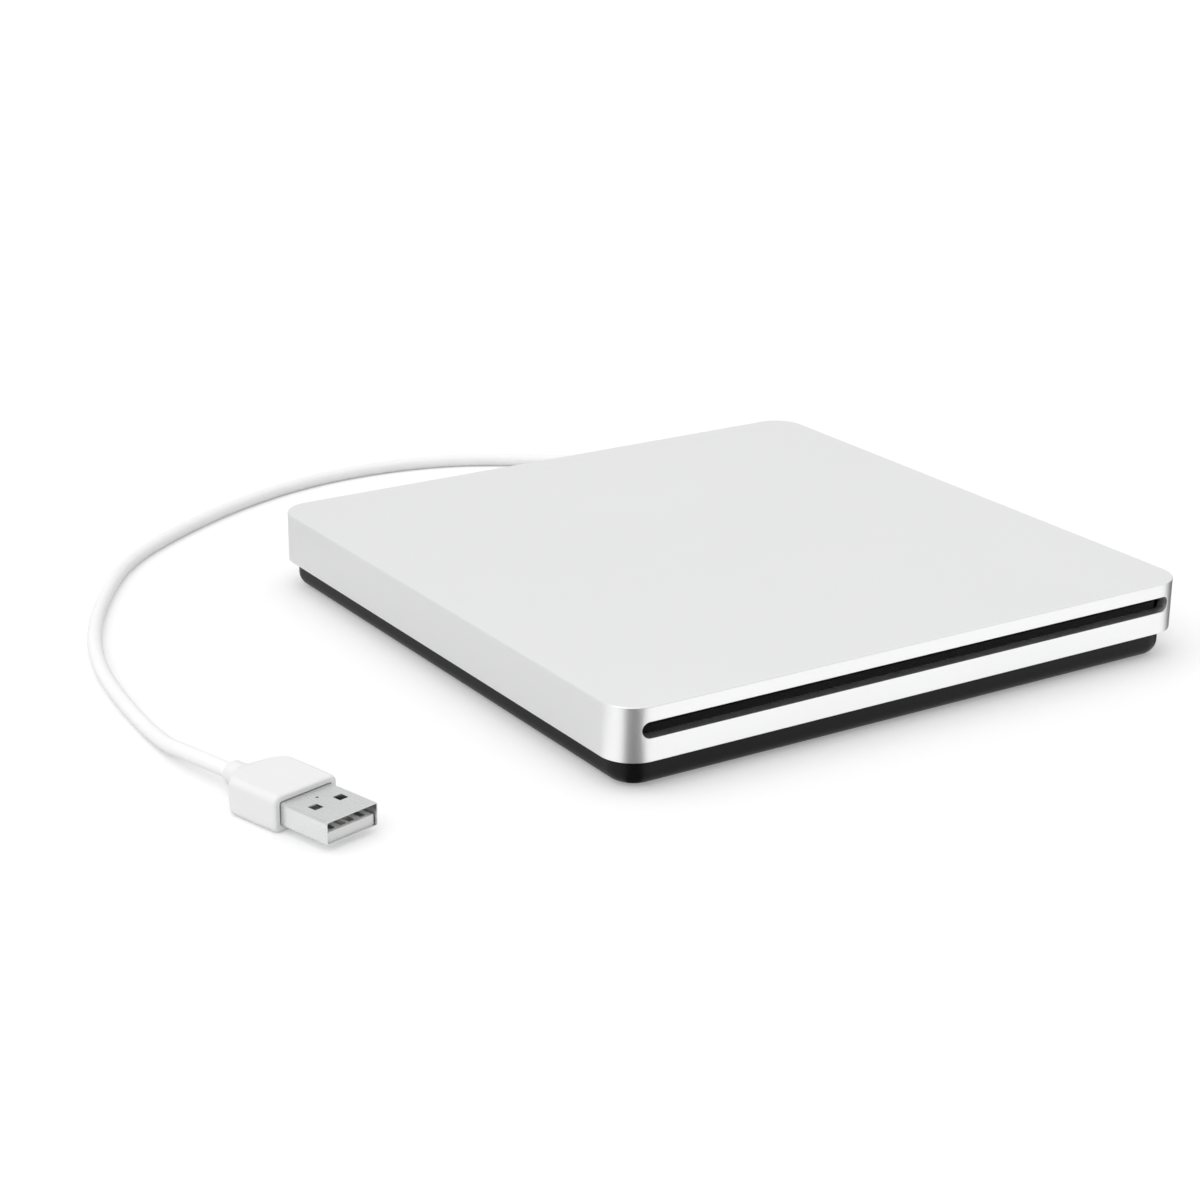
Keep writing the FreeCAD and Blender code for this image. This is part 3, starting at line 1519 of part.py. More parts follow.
def cord_route():
    boot_end = Vector(cord_exit_x, tray_back_face + boot_length, cord_exit_height)
    floor = cord_diameter / 2
    end = plug_line(grip_length + grip_neck_length)
    return [
        boot_end, Vector(cord_exit_x, 88.5, cord_exit_height), Vector(39.5, 100, 1.9), Vector(24.5, 113.5, floor),
        Vector(6.5, 125, floor), Vector(-15, 129, floor), Vector(-36, 127, floor), Vector(-56.5, 119.5, floor),
        Vector(-77, 108, floor), Vector(-94.5, 95, floor), Vector(-107, 78, floor), Vector(-118.5, 57.5, floor),
        Vector(-125.7, 37, floor), Vector(-129, 15.5, floor), Vector(-130.5, -5, floor),
        plug_line(grip_length + grip_neck_length + 12), end]


def cord_path(route):
    """Straight runs joined by tangent arcs, with the radius of each arc."""
    edges = []
    radii = []
    here = route[0]
    for before, corner, after in zip(route, route[1:], route[2:]):
        first = corner - before
        second = after - corner
        turn = first.getAngle(second)
        cut_back = 0.45 * min(first.Length, second.Length)
        radius = cut_back / math.tan(turn / 2)
        into = Vector(first).normalize()
        out = Vector(second).normalize()
        start = corner - into * cut_back
        end = corner + out * cut_back
        inward = (out - into).normalize()
        middle = corner + inward * (radius / math.cos(turn / 2) - radius)
        edges.append(Part.LineSegment(here, start).toShape())
        edges.append(Part.Arc(start, middle, end).toShape())
        radii.append(radius)
        here = end
    edges.append(Part.LineSegment(here, route[-1]).toShape())
    return Part.Wire(edges), radii


def cord():
    """The lead: a tube with flat sides along the route."""
    route = cord_route()
    path, radii = cord_path(route)
    corners = [Vector(*polar(0, 0, cord_diameter / 2, 360 * (number + 0.5) / fine_sides), 0)
               for number in range(fine_sides)]
    flat = Part.Face(Part.makePolygon(corners + corners[:1]))
    section = laid(flat.OuterWire, route[0], route[1])
    solid = path.makePipeShell([section], True, False)
    print("cord radii", [round(r, 1) for r in radii])
    print("cord length", round(path.Length, 1), "volume", round(solid.Volume, 1),
          "expected", round(flat.Area * path.Length, 1))
    return solid


def at_plug(shape):
    """Places a shape whose +X is the way the plug points, from the front of the grip."""
    placed = shape.copy()
    placed.rotate(Vector(0, 0, 0), UP, plug_turn)
    placed.translate(plug_line(0))
    return placed


def grip_side(half, shoulder, neck):
    """One side of the grip's outline, from its front back to the collar."""
    front = Vector(0, half, 0)
    flat_end = Vector(shoulder - grip_length, half, 0)
    turned_in = Vector(0.25 * shoulder - grip_length, half - 0.34 * shoulder, 0)
    back = Vector(-grip_length, (half + neck) / 2, 0)
    curve_in = Vector(-grip_length - 0.27 * grip_neck_blend, neck + 0.18 * (half - neck), 0)
    collar = Vector(-grip_length - grip_neck_blend, neck, 0)
    end = Vector(-grip_length - grip_neck_length, neck, 0)
    return [Part.LineSegment(front, flat_end).toShape(), Part.Arc(flat_end, turned_in, back).toShape(),
            Part.Arc(back, curve_in, collar).toShape(), Part.LineSegment(collar, end).toShape()]


def grip_outline(half, shoulder, neck):
    one_side = grip_side(half, shoulder, neck)
    other_side = [edge.mirror(Vector(0, 0, 0), Vector(0, 1, 0)) for edge in one_side]
    end = -grip_length - grip_neck_length
    cap = Part.LineSegment(Vector(end, neck, 0), Vector(end, -neck, 0)).toShape()
    front = Part.LineSegment(Vector(0, -half, 0), Vector(0, half, 0)).toShape()
    return Part.Face(Part.Wire(Part.sortEdges(one_side + [cap, front] + other_side)[0]))


def plug_grip():
    """The moulded grip: a block with round shoulders that draws in to the collar."""
    plan = grip_outline(grip_width / 2, grip_shoulder, grip_neck_radius).extrude(Vector(0, 0, grip_height))
    plan.translate(Vector(0, 0, -grip_height / 2))
    side = grip_outline(grip_height / 2, grip_top_shoulder, grip_neck_radius).extrude(Vector(0, 0, grip_width))
    side.translate(Vector(0, 0, -grip_width / 2))
    side.rotate(Vector(0, 0, 0), Vector(1, 0, 0), 90)
    return at_plug(plan.common(side))


def plug_section(width, height, corner, x0, x1):
    block = box(x0, x1, -width / 2, width / 2, -height / 2, height / 2)
    lengthways = [e for e in block.Edges if abs(e.tangentAt(e.FirstParameter).x) > 0.9]
    return block.makeChamfer(corner, lengthways)


def plug_shell():
    """The folded metal tube, with two latch holes through its upper and lower side."""
    outer = plug_section(plug_width, plug_height, plug_corner + plug_sheet, 0, plug_reach)
    inner = plug_section(plug_width - 2 * plug_sheet, plug_height - 2 * plug_sheet, plug_corner,
                         -past, plug_reach + past)
    shell = outer.cut(inner)
    half = latch_hole / 2
    for middle in (-latch_offset, latch_offset):
        shell = shell.cut(box(latch_start, latch_start + latch_hole, middle - half, middle + half,
                              -plug_height, plug_height))
    return at_plug(shell)


def plug_tongue():
    low = plug_sheet - plug_height / 2
    half = plug_width / 2 - plug_sheet - plug_corner
    return at_plug(box(0, plug_reach - plug_tongue_inset, -half, half, low, low + plug_tongue_height))


def plug_contacts():
    low = plug_sheet - plug_height / 2 + plug_tongue_height
    half = contact_width / 2
    group = []
    for v, start in ((-3.5, 3.0), (-1.0, 4.0), (1.0, 4.0), (3.5, 3.0)):
        group.append(box(start, plug_reach - contact_inset, v - half, v + half, low, low + contact_thickness))
    return at_plug(Part.makeCompound(group))


# Every sub-part, by its node's name
parts = {
    "top_shell": top_shell(),
    "base_tray": base_tray(),
    "foot_pad": foot_pad(),
    "shell_screws": screws(screw_boss_places(), boss_start + screw_grip),
    "drive_screws": screws(mount_places(), chassis_floor + sheet_grip),
    "drive_chassis": drive_chassis(),
    "top_cover": top_cover(),
    "felt_lower": slot_felt(slot_centre_height - slot_height, slot_centre_height - felt_slit / 2),
    "felt_upper": slot_felt(slot_centre_height + felt_slit / 2, chassis_top),
    "dampers": dampers(),
    "hinge_brackets": hinge_brackets(),
    "pivot_studs": pivot_studs(),
    "left_arm_stud": left_arm_stud(),
    "motor_bracket": motor_bracket(),
    "loading_motor": loading_motor(),
    "motor_shaft": motor_shaft(),
    "worm": worm(),
    "worm_gear": worm_gear(),
    "train_gear": train_gear(),
    "corner_pinion": corner_pinion(),
    "cam_slider": cam_slider(),
    "cross_slider": cross_slider(),
    "right_arm": right_arm(),
    "right_roller": arm_roller(right_arm_end()),
    "eject_lever": eject_lever(),
    "lever_roller": arm_roller(lever_end()),
    "left_arm": left_arm(),
    "left_roller": left_roller(),
    "traverse_frame": traverse_frame(),
    "guide_rods": guide_rods(),
    "feed_motor": feed_motor(),
    "lead_screw": lead_screw(),
    "sled": sled(),
    "focus_magnets": focus_magnets(),
    "lens_holder": lens_holder(),
    "lens": lens(),
    "spindle_base": spindle_base(),
    "stator": stator(),
    "spindle_rotor": spindle_rotor(),
    "spindle_shaft": spindle_shaft(),
    "turntable": turntable(),
    "rubber_ring": rubber_ring(),
    "centring_hub": centring_hub(),
    "disc_claws": disc_claws(),
    "main_board": main_board(),
    "main_board_chips": main_board_chips(),
    "cable_sockets": cable_sockets(),
    "board_plug": board_plug(),
    "board_socket": board_socket(),
    "bridge_board": bridge_board(),
    "bridge_chip": bridge_chip(),
    "cord_boot": cord_boot(),
    "cord": cord(),
    "plug_grip": plug_grip(),
    "plug_shell": plug_shell(),
    "plug_tongue": plug_tongue(),
    "plug_contacts": plug_contacts(),
}

for name, shape in parts.items():
    shape.exportStep("parts/" + name + ".step")
    if not shape.isValid() or shape.Volume <= 0:
        print("not a sound solid:", name)
print(len(parts), "sub-parts written")
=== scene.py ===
import bmesh
import bpy
import json
import math
from mathutils import Matrix, Vector


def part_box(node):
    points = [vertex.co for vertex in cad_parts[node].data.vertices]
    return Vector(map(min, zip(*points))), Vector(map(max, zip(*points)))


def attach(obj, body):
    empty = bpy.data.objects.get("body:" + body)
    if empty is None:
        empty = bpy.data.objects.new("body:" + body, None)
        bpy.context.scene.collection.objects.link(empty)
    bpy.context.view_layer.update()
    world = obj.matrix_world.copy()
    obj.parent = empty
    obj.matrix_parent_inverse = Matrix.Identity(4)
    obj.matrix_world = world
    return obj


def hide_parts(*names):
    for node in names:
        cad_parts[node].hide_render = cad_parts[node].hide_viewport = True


# Looks of the slot-loading disc drive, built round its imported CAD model.
# Sizes here are millimetres, as in the CAD model, and MM turns them into the scene's metres.
# An azimuth runs from the drive's front (-Y) towards its right side (+X), in degrees.

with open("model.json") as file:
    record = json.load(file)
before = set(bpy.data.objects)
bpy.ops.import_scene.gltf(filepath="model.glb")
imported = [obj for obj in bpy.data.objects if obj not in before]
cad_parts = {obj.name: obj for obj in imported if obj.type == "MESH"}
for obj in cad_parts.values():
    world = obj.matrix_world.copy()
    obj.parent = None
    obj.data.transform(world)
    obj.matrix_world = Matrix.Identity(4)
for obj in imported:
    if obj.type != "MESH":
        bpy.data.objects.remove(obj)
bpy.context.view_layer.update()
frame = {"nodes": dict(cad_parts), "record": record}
nodes = frame["nodes"]
scene = bpy.context.scene
MM = 0.001


def node_box(name):
    """The lowest and highest corner of a CAD node, in millimetres."""
    low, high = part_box(name)
    return low / MM, high / MM


def node_pieces(name):
    """The lowest and highest corner of each solid in a CAD node, in millimetres and from left to right."""
    bm = bmesh.new()
    bm.from_mesh(nodes[name].data)
    bmesh.ops.remove_doubles(bm, verts=bm.verts, dist=0.001 * MM)
    left = set(bm.verts)
    boxes = []
    while left:
        found = [left.pop()]
        for vert in found:
            for edge in vert.link_edges:
                other = edge.other_vert(vert)
                if other in left:
                    left.remove(other)
                    found.append(other)
        corners = [vert.co / MM for vert in found]
        boxes.append((Vector([min(c[axis] for c in corners) for axis in range(3)]),
                      Vector([max(c[axis] for c in corners) for axis in range(3)])))
    bm.free()
    return sorted(boxes, key=lambda box: tuple(box[0]))


def screw_places(name):
    """Where each screw of a CAD node stands: its X and Y, its head's underside and its tip."""
    return [((low.x + high.x) / 2, (low.y + high.y) / 2, low.z, high.z) for low, high in node_pieces(name)]


# Helpers of shape. A turned outline starts and ends at core, so that its end faces stay clean. A cutter
# runs on by beyond past what it cuts, and a boss is sunk into the wall it stands on. A round end of a
# slot has almost the slot's radius, so that its two quarters don't share a point.
core = 0.01
beyond = 1.0
sunk = 0.3
almost = 0.9999

# Shell
shell_low, shell_high = node_box("top_shell")
case_side = shell_high.x
shell_top = shell_high.z
rim_drop = 0.1
shell_rim = shell_low.z - rim_drop
shell_ceiling = node_box("dampers")[1].z
shell_front_inside = node_box("felt_lower")[0].y
shell_corner = 7.0
shell_wall = 2.0
shell_edge = 0.32
rim_edge = 0.2
rim_bevel = 0.1
corner_steps = 20

# Slot
slot_radius = 1.6
slot_margin = 4.75
slot_half = case_side - slot_margin
slot_drop = 4.6
slot_level = shell_top - slot_drop
slot_depth = 8.5
slot_edge = 0.14
slot_steps = 14
slot_play = 0.02
front_margin = 0.5

# Tray and pad
tray_low, tray_high = node_box("base_tray")
pad_low, pad_high = node_box("foot_pad")
tray_inset = 1.85
tray_inner = 4.2
tray_corner = 6.0
tray_inner_corner = 4.0
tray_floor = 1.8
tray_round = 2.9
tray_top = shell_rim - 0.05
lip_inset = case_side - tray_high.x
lip_front = tray_low.y
lip_wall = 1.1
lip_edge = 0.2
lip_foot = shell_rim + 1.0
pad_inset = case_side - pad_high.x
pad_play = 0.2
pad_round = 0.35

# Bosses and screws. The crest of a thread lies between two shares of its pitch.
boss_radius = 2.2
boss_start = 8.4
boss_edge = 0.15
bore_depth = 2.8
bore_edge = 0.2
mount_radius = 3.0
screw_radius = 0.9
screw_play = 0.15
screw_sides = 28
head_radius = 1.9
head_height = 0.8
head_edge = 0.15
cross_reach = 1.2
cross_width = 0.42
cross_depth = 0.45
cross_start = 0.1
cross_narrowing = 0.6
thread_pitch = 0.7
thread_depth = 0.16
thread_crest = (0.4, 0.6)
thread_margin = 0.4
tip_length = 0.3
tip_radius = 0.45

# Lead and boot. The boot's axis and the lead's exit lie in the middle of the boot's node. A groove is
# given by how far along the boot each of its points lies, and how deep.
boot_low, boot_high = node_box("cord_boot")
exit_x = (boot_low.x + boot_high.x) / 2
exit_z = (boot_low.z + boot_high.z) / 2
cord_radius = 1.5
flange_radius = 2.9
flange_back = 2.3
flange_front = 1.2
neck_bore = 2.0
base_back = 0.6
base_radius = 2.7
boot_root = boot_low.y + flange_back
boot_tip_radius = 2.1
boot_tip_edge = 0.25
boot_tip_edge_length = 0.3
boot_hold = 0.05
boot_grooves = 5
groove_start = 1.5
groove_margin = 3.0
groove = ((-0.15, 0.0), (0.0, 0.12), (0.1, 0.42), (0.55, 0.42), (0.65, 0.14), (0.8, 0.0))

# Plug shell. The lip at its mouth is given by how far in each of its rings lies, the ring's corner and
# how far it lies behind the mouth.
plug_place = (-121.8, -48.2, 3.6)
plug_turn = -75.23
plug_half_width = 6.0
plug_half_height = 2.25
plug_reach = 12.0
plug_root = 0.5
plug_sheet = 0.3
plug_corner = 0.55
plug_hollow_corner = 0.25
plug_lip = ((0.0, plug_corner, 0.15), (0.05, 0.5, 0.04), (0.12, 0.43, 0.0),
            (plug_sheet - 0.06, 0.32, 0.0), (plug_sheet, plug_hollow_corner, 0.1))
latch_half = 1.0
latch_middle = 5.8
latch_offset = 2.9
latch_corner = 0.15
pin_middle = 2.9
pin_half = 0.3
pin_corner = 0.29

# Grip. Its front face has a shallow socket round the plug's shell. The collar at its back is given by
# the radius of each ring and how far behind the front face it lies.
grip_half_width = 7.4
grip_half_height = 3.6
grip_round = 1.3
grip_edge = 0.55
grip_edge_length = 0.9
grip_front_corner = 1.0
grip_middle = 6.0
grip_back = 11.4
socket_depth = 0.3
socket_corner = 0.6
socket_play = 0.12
socket_flare = 0.16
socket_end_inset = (0.4, 0.25)
socket_end_corner = 0.5
shoulder_start = 11.8
shoulder_end = 17.6
shoulder_steps = 16
shoulder_sink_start = 0.25
shoulder_draw = 0.92
neck_radius = 2.42
grip_collar = ((neck_radius, 19.6), (neck_radius - 0.06, 19.75), (2.05, 19.8), (2.0, 20.45), (1.55, 20.5))

# Shading
sharp_angle = 32.0
screw_sharp_angle = 28.0
boot_sharp_angle = 40.0
normal_weight = 80

# Camera, at the photograph's angle
camera_place = (-305.315, -425.950, 194.807)
camera_azimuth = -32.94
camera_elevation = 20.08
camera_roll = 0.556
camera_lens = 77.81

# Studio, as metal mirrors it. It is dark behind the camera, which gives the metal its dark band at the
# front left corner, and dimmer at the rear left and on the right, which the sides mirror. Each sector is
# its middle, its half width and the blur of its ends, in degrees, and how bright it is. High up the
# studio is dimmer, because the lamps add their own light there. A height is given as the sine of the
# elevation.
behind_camera = (-29.0, 26.0, 8.0, 0.19)
rear_left = (-155.0, 38.0, 12.0, 0.72)
right_side = (112.0, 46.0, 22.0, 0.05)
mirrored_light = 0.80
high_light = 0.56
high_start = 0.60
high_end = 0.85

# Fill, as everything else takes it: even, but stronger from the left
room_light = 0.672
left_wall = (-75.0, 50.0, 25.0, 1.6)

# Floor, in metres where it is large. Its glow lifts it to white for the camera and for metal, and more
# so far out, where the lamps hardly reach.
floor_half = 3.0
floor_drop = 0.02
floor_colour = 0.72
floor_glow = 0.28
far_glow = 0.50
glow_start = 0.2
glow_end = 1.0


def make_camera():
    data = bpy.data.cameras.new("camera")
    data.lens = camera_lens
    data.clip_start = 0.01
    data.clip_end = 20.0
    camera = bpy.data.objects.new("camera", data)
    scene.collection.objects.link(camera)
    turn = Matrix.Rotation(math.radians(camera_azimuth), 4, "Z")
    turn = turn @ Matrix.Rotation(math.radians(90 - camera_elevation), 4, "X")
    turn = turn @ Matrix.Rotation(math.radians(camera_roll), 4, "Z")
    camera.matrix_world = Matrix.Translation(Vector(camera_place) * MM) @ turn
    scene.camera = camera


# Nodes that materials share

def blank(name):
    mat = bpy.data.materials.new(name)
    mat.use_nodes = True
    tree = mat.node_tree
    tree.nodes.clear()
    out = tree.nodes.new("ShaderNodeOutputMaterial")
    shader = tree.nodes.new("ShaderNodeBsdfPrincipled")
    tree.links.new(shader.outputs[0], out.inputs[0])
    return mat, tree, shader


def place(tree, stretch=(1, 1, 1), turn=0.0):
    """Object coordinates in millimetres, stretched and turned for a brushed grain."""
    where = tree.nodes.new("ShaderNodeTexCoord")
    scale = tree.nodes.new("ShaderNodeMapping")
    scale.vector_type = "TEXTURE"
    scale.inputs["Rotation"].default_value = (0, 0, math.radians(turn))
    scale.inputs["Scale"].default_value = [MM * s for s in stretch]
    tree.links.new(where.outputs["Object"], scale.inputs["Vector"])
    return scale.outputs["Vector"]


def noise(tree, coords, size, detail=3.0, rough=0.55):
    """Noise whose spots are about size millimetres across."""
    texture = tree.nodes.new("ShaderNodeTexNoise")
    texture.inputs["Scale"].default_value = 1 / size
    texture.inputs["Detail"].default_value = detail
    texture.inputs["Roughness"].default_value = rough
    tree.links.new(coords, texture.inputs["Vector"])
    return texture.outputs["Fac"]


def between(tree, value, low, high, start=0.3, end=0.7):
    """Spreads a value between two numbers."""
    node = tree.nodes.new("ShaderNodeMapRange")
    node.inputs["From Min"].default_value = start
    node.inputs["From Max"].default_value = end
    node.inputs["To Min"].default_value = low
    node.inputs["To Max"].default_value = high
    tree.links.new(value, node.inputs["Value"])
    return node.outputs["Result"]


def tint(tree, value, low, high, start=0.3, end=0.7):
    """Spreads a value between two colours."""
    node = tree.nodes.new("ShaderNodeValToRGB")
    node.color_ramp.elements[0].position = start
    node.color_ramp.elements[0].color = (*low, 1)
    node.color_ramp.elements[1].position = end
    node.color_ramp.elements[1].color = (*high, 1)
    tree.links.new(value, node.inputs["Fac"])
    return node.outputs["Color"]


def relief(tree, value, strength, height):
    """Turns a value into fine relief of so many millimetres."""
    node = tree.nodes.new("ShaderNodeBump")
    node.inputs["Strength"].default_value = strength
    node.inputs["Distance"].default_value = height * MM
    tree.links.new(value, node.inputs["Height"])
    return node.outputs["Normal"]


def maths(tree, operation, first, second=None):
    """A number worked out from one or two others, each of them a socket or a plain value."""
    node = tree.nodes.new("ShaderNodeMath")
    node.operation = operation
    for socket, value in zip(node.inputs, (first, second)):
        if isinstance(value, (int, float)):
            socket.default_value = value
        elif value is not None:
            tree.links.new(value, socket)
    return node.outputs[0]


def shade(colour, factor):
    return tuple(min(1.0, c * factor) for c in colour)


def surface(name, colour, rough, grain, cloud, strength, height, metallic=0.0, specular=0.5,
            stretch=(1, 1, 1), turn=0.0, cloud_size=16.0, rough_play=0.05):
    """A finish with slow clouding in its colour, grain in its gloss and relief of the grain's size."""
    mat, tree, shader = blank(name)
    slow = noise(tree, place(tree), cloud_size, 2.0)
    fine = noise(tree, place(tree, stretch, turn), grain, 3.0, 0.6)
    mixed = maths(tree, "ADD", maths(tree, "MULTIPLY", slow, 0.5), maths(tree, "MULTIPLY", fine, 0.5))
    colours = tint(tree, mixed, shade(colour, 1 - cloud), shade(colour, 1 + cloud))
    tree.links.new(colours, shader.inputs["Base Color"])
    tree.links.new(between(tree, fine, rough - rough_play, rough + rough_play), shader.inputs["Roughness"])
    tree.links.new(relief(tree, fine, strength, height), shader.inputs["Normal"])
    shader.inputs["Metallic"].default_value = metallic
    shader.inputs["Specular IOR Level"].default_value = specular
    return mat


# Materials

def blasted_metal():
    """The shell's silver finish: evenly matt, with a fine blasted grain."""
    return surface("shell", (0.945, 0.947, 0.95), rough=0.38, grain=0.30, cloud=0.012, strength=0.30,
                   height=0.010, metallic=1.0, cloud_size=40.0)


def metal(name, colour, rough, grain=0.2, cloud=0.06, strength=0.06, height=0.005, **more):
    return surface(name, colour, rough, grain, cloud, strength, height, metallic=1.0, **more)


def brushed(name, colour, rough, along, turn=0.0):
    """Sheet metal with its grain drawn out along one direction."""
    return metal(name, colour, rough, grain=0.16, cloud=0.05, strength=0.10, height=0.006,
                 stretch=(along, 1, 1), turn=turn)


def plastic(name, colour, rough, grain=0.35, cloud=0.10, strength=0.12, height=0.015, **more):
    return surface(name, colour, rough, grain, cloud, strength, height, **more)


def rubber(name, colour, rough):
    return surface(name, colour, rough, grain=0.30, cloud=0.20, strength=0.35, height=0.04, specular=0.30)


def felt():
    """Matted black fibres with a faint sheen."""
    mat, tree, shader = blank("felt")
    fibres = noise(tree, place(tree, (4, 1, 1)), 0.12, 4.0, 0.7)
    colours = tint(tree, fibres, (0.006, 0.006, 0.006), (0.018, 0.018, 0.019))
    tree.links.new(colours, shader.inputs["Base Color"])
    tree.links.new(between(tree, fibres, 0.88, 1.0), shader.inputs["Roughness"])
    tree.links.new(relief(tree, fibres, 0.8, 0.12), shader.inputs["Normal"])
    shader.inputs["Specular IOR Level"].default_value = 0.10
    shader.inputs["Sheen Weight"].default_value = 0.08
    return mat


def circuit_board():
    """Green lacquer over a lattice of thin copper tracks."""
    mat, tree, shader = blank("board")
    tracks = tree.nodes.new("ShaderNodeTexBrick")
    tracks.inputs["Scale"].default_value = 0.35
    tracks.inputs["Mortar Size"].default_value = 0.05
    tracks.inputs["Color1"].default_value = (0.008, 0.075, 0.035, 1)
    tracks.inputs["Color2"].default_value = (0.010, 0.090, 0.042, 1)
    tracks.inputs["Mortar"].default_value = (0.03, 0.17, 0.07, 1)
    tree.links.new(place(tree), tracks.inputs["Vector"])
    tree.links.new(tracks.outputs["Color"], shader.inputs["Base Color"])
    tree.links.new(between(tree, noise(tree, place(tree), 0.8), 0.28, 0.40), shader.inputs["Roughness"])
    tree.links.new(relief(tree, tracks.outputs["Fac"], 0.3, 0.03), shader.inputs["Normal"])
    return mat


def lens_glass():
    """Clear glass with a faint blue coating."""
    mat, tree, shader = blank("glass")
    coated = tint(tree, noise(tree, place(tree), 3.0), (0.62, 0.70, 0.95), (0.75, 0.80, 1.0))
    tree.links.new(coated, shader.inputs["Base Color"])
    tree.links.new(between(tree, noise(tree, place(tree), 0.5), 0.02, 0.05), shader.inputs["Roughness"])
    shader.inputs["Transmission Weight"].default_value = 0.9
    shader.inputs["IOR"].default_value = 1.5
    return mat


looks = {
    "shell": blasted_metal(),
    "tray": plastic("tray", (0.0035, 0.0035, 0.0037), rough=0.34, grain=0.30, cloud=0.15, strength=0.15,
                    height=0.012, specular=0.20),
    "pad": rubber("pad", (0.028, 0.028, 0.029), rough=0.72),
    "sheet_steel": brushed("sheet_steel", (0.55, 0.56, 0.58), rough=0.35, along=12),
    "steel": metal("steel", (0.62, 0.62, 0.64), rough=0.22),
    "felt": felt(),
    "damper": rubber("damper", (0.030, 0.030, 0.030), rough=0.75),
    "gear": plastic("gear", (0.72, 0.70, 0.63), rough=0.40, grain=0.40, cloud=0.05),
    "slider": plastic("slider", (0.035, 0.035, 0.038), rough=0.42, grain=0.40),
    "roller": plastic("roller", (0.022, 0.022, 0.022), rough=0.50, grain=0.30),
    "brass": metal("brass", (0.62, 0.45, 0.19), rough=0.28),
    "chip": plastic("chip", (0.018, 0.018, 0.020), rough=0.55, grain=0.20),
    "socket": plastic("socket", (0.66, 0.62, 0.52), rough=0.45, grain=0.30, cloud=0.05),
    # Black plastic with its gloss taken off, so that the slot's walls, which it also covers, stay dark as
    # painted shade.
    "black": plastic("black", (0.012, 0.012, 0.012), rough=0.60, grain=0.25, specular=0.0),
    "diecast": metal("diecast", (0.42, 0.43, 0.45), rough=0.50, grain=0.40, cloud=0.10, strength=0.20,
                     height=0.02),
    "magnet": metal("magnet", (0.30, 0.31, 0.33), rough=0.35, grain=0.30),
    "hub": plastic("hub", (0.78, 0.78, 0.79), rough=0.25, grain=0.50, cloud=0.03, strength=0.05,
                   height=0.01),
    "white": plastic("white", (0.825, 0.825, 0.825), rough=0.40, cloud=0.012, strength=0.08, height=0.01),
    "cord": plastic("cord", (0.91, 0.91, 0.91), rough=0.45, grain=0.25, cloud=0.015, strength=0.10,
                    height=0.01),
    "plug_metal": brushed("plug_metal", (0.74, 0.745, 0.75), rough=0.30, along=14, turn=plug_turn),
    "contact": metal("contact", (0.46, 0.44, 0.40), rough=0.32),
    "board": circuit_board(),
    "glass": lens_glass(),
}


def dress_nodes():
    """Gives every CAD node the finish of its material slot."""
    for row in frame["record"]["subparts"]:
        for slot in nodes[row["node"]].material_slots:
            slot.material = looks[row["material_slot"]]


# Mesh helpers

def quarter_turn(steps):
    """The sine and cosine of each angle from 0 to 90 degrees."""
    turns = [math.radians(90 * step / steps) for step in range(steps + 1)]
    return [(math.sin(turn), math.cos(turn)) for turn in turns]


def loop_of_points(x0, x1, y0, y1, corner, steps):
    """Points round a rectangle with round corners, anticlockwise."""
    points = []
    for cx, cy, start in ((x1 - corner, y1 - corner, 0), (x0 + corner, y1 - corner, 90),
                          (x0 + corner, y0 + corner, 180), (x1 - corner, y0 + corner, 270)):
        for step in range(steps + 1):
            turn = math.radians(start + 90 * step / steps)
            points.append((cx + corner * math.cos(turn), cy + corner * math.sin(turn)))
    return points


def case_ring(inset, z, corner, front=None):
    """A level ring with the plan of the case, set in on all sides. front moves its front side."""
    side = case_side - inset
    y0 = -side if front is None else front
    outline = loop_of_points(-side, side, y0, side, corner, corner_steps)
    return [Vector((x, y, z)) * MM for x, y in outline]


def loft(bm, rings, first_cap=True, last_cap=True):
    """Skins a list of rings that have the same number of points."""
    made = [[bm.verts.new(point) for point in ring] for ring in rings]
    count = len(made[0])
    for ring, following in zip(made, made[1:]):
        for near in range(count):
            far = (near + 1) % count
            bm.faces.new((ring[near], ring[far], following[far], following[near]))
    if first_cap:
        bm.faces.new(list(reversed(made[0])))
    if last_cap:
        bm.faces.new(made[-1])
    return made


def lathe(bm, profile, axis, steps=36):
    """Turns (radius, height) points about the Z axis of a matrix."""
    rings = []
    for radius, height in profile:
        ring = []
        for step in range(steps):
            turn = 2 * math.pi * step / steps
            ring.append(axis @ (Vector((radius * math.cos(turn), radius * math.sin(turn), height)) * MM))
        rings.append(ring)
    loft(bm, rings)


def upright(x, y):
    """An axis that rises from a place on the floor."""
    return Matrix.Translation(Vector((x, y, 0)) * MM)


def backward(y):
    """The axis of the lead's exit, which runs to the rear from the given Y."""
    return Matrix.Translation(Vector((exit_x, y, exit_z)) * MM) @ Matrix.Rotation(math.radians(-90), 4, "X")


def finished_mesh(bm, name, sharp=sharp_angle):
    """Makes a mesh, smooth except across edges sharper than the given angle."""
    bmesh.ops.remove_doubles(bm, verts=bm.verts, dist=1e-7)
    bmesh.ops.recalc_face_normals(bm, faces=bm.faces)
    for face in bm.faces:
        face.smooth = True
    for edge in bm.edges:
        edge.smooth = len(edge.link_faces) == 2 and edge.calc_face_angle(0) < math.radians(sharp)
    data = bpy.data.meshes.new(name)
    bm.to_mesh(data)
    bm.free()
    return data


def add_object(name, data):
    obj = bpy.data.objects.new(name, data)
    scene.collection.objects.link(obj)
    return obj


def solid(name, bm, sharp=sharp_angle):
    return add_object(name, finished_mesh(bm, name, sharp))


def turned(name, profile, axis, steps=36):
    bm = bmesh.new()
    lathe(bm, profile, axis, steps)
    return solid(name, bm)


def rod(name, x, y, z0, z1, radius):
    return turned(name, [(radius, z0), (radius, z1)], upright(x, y))


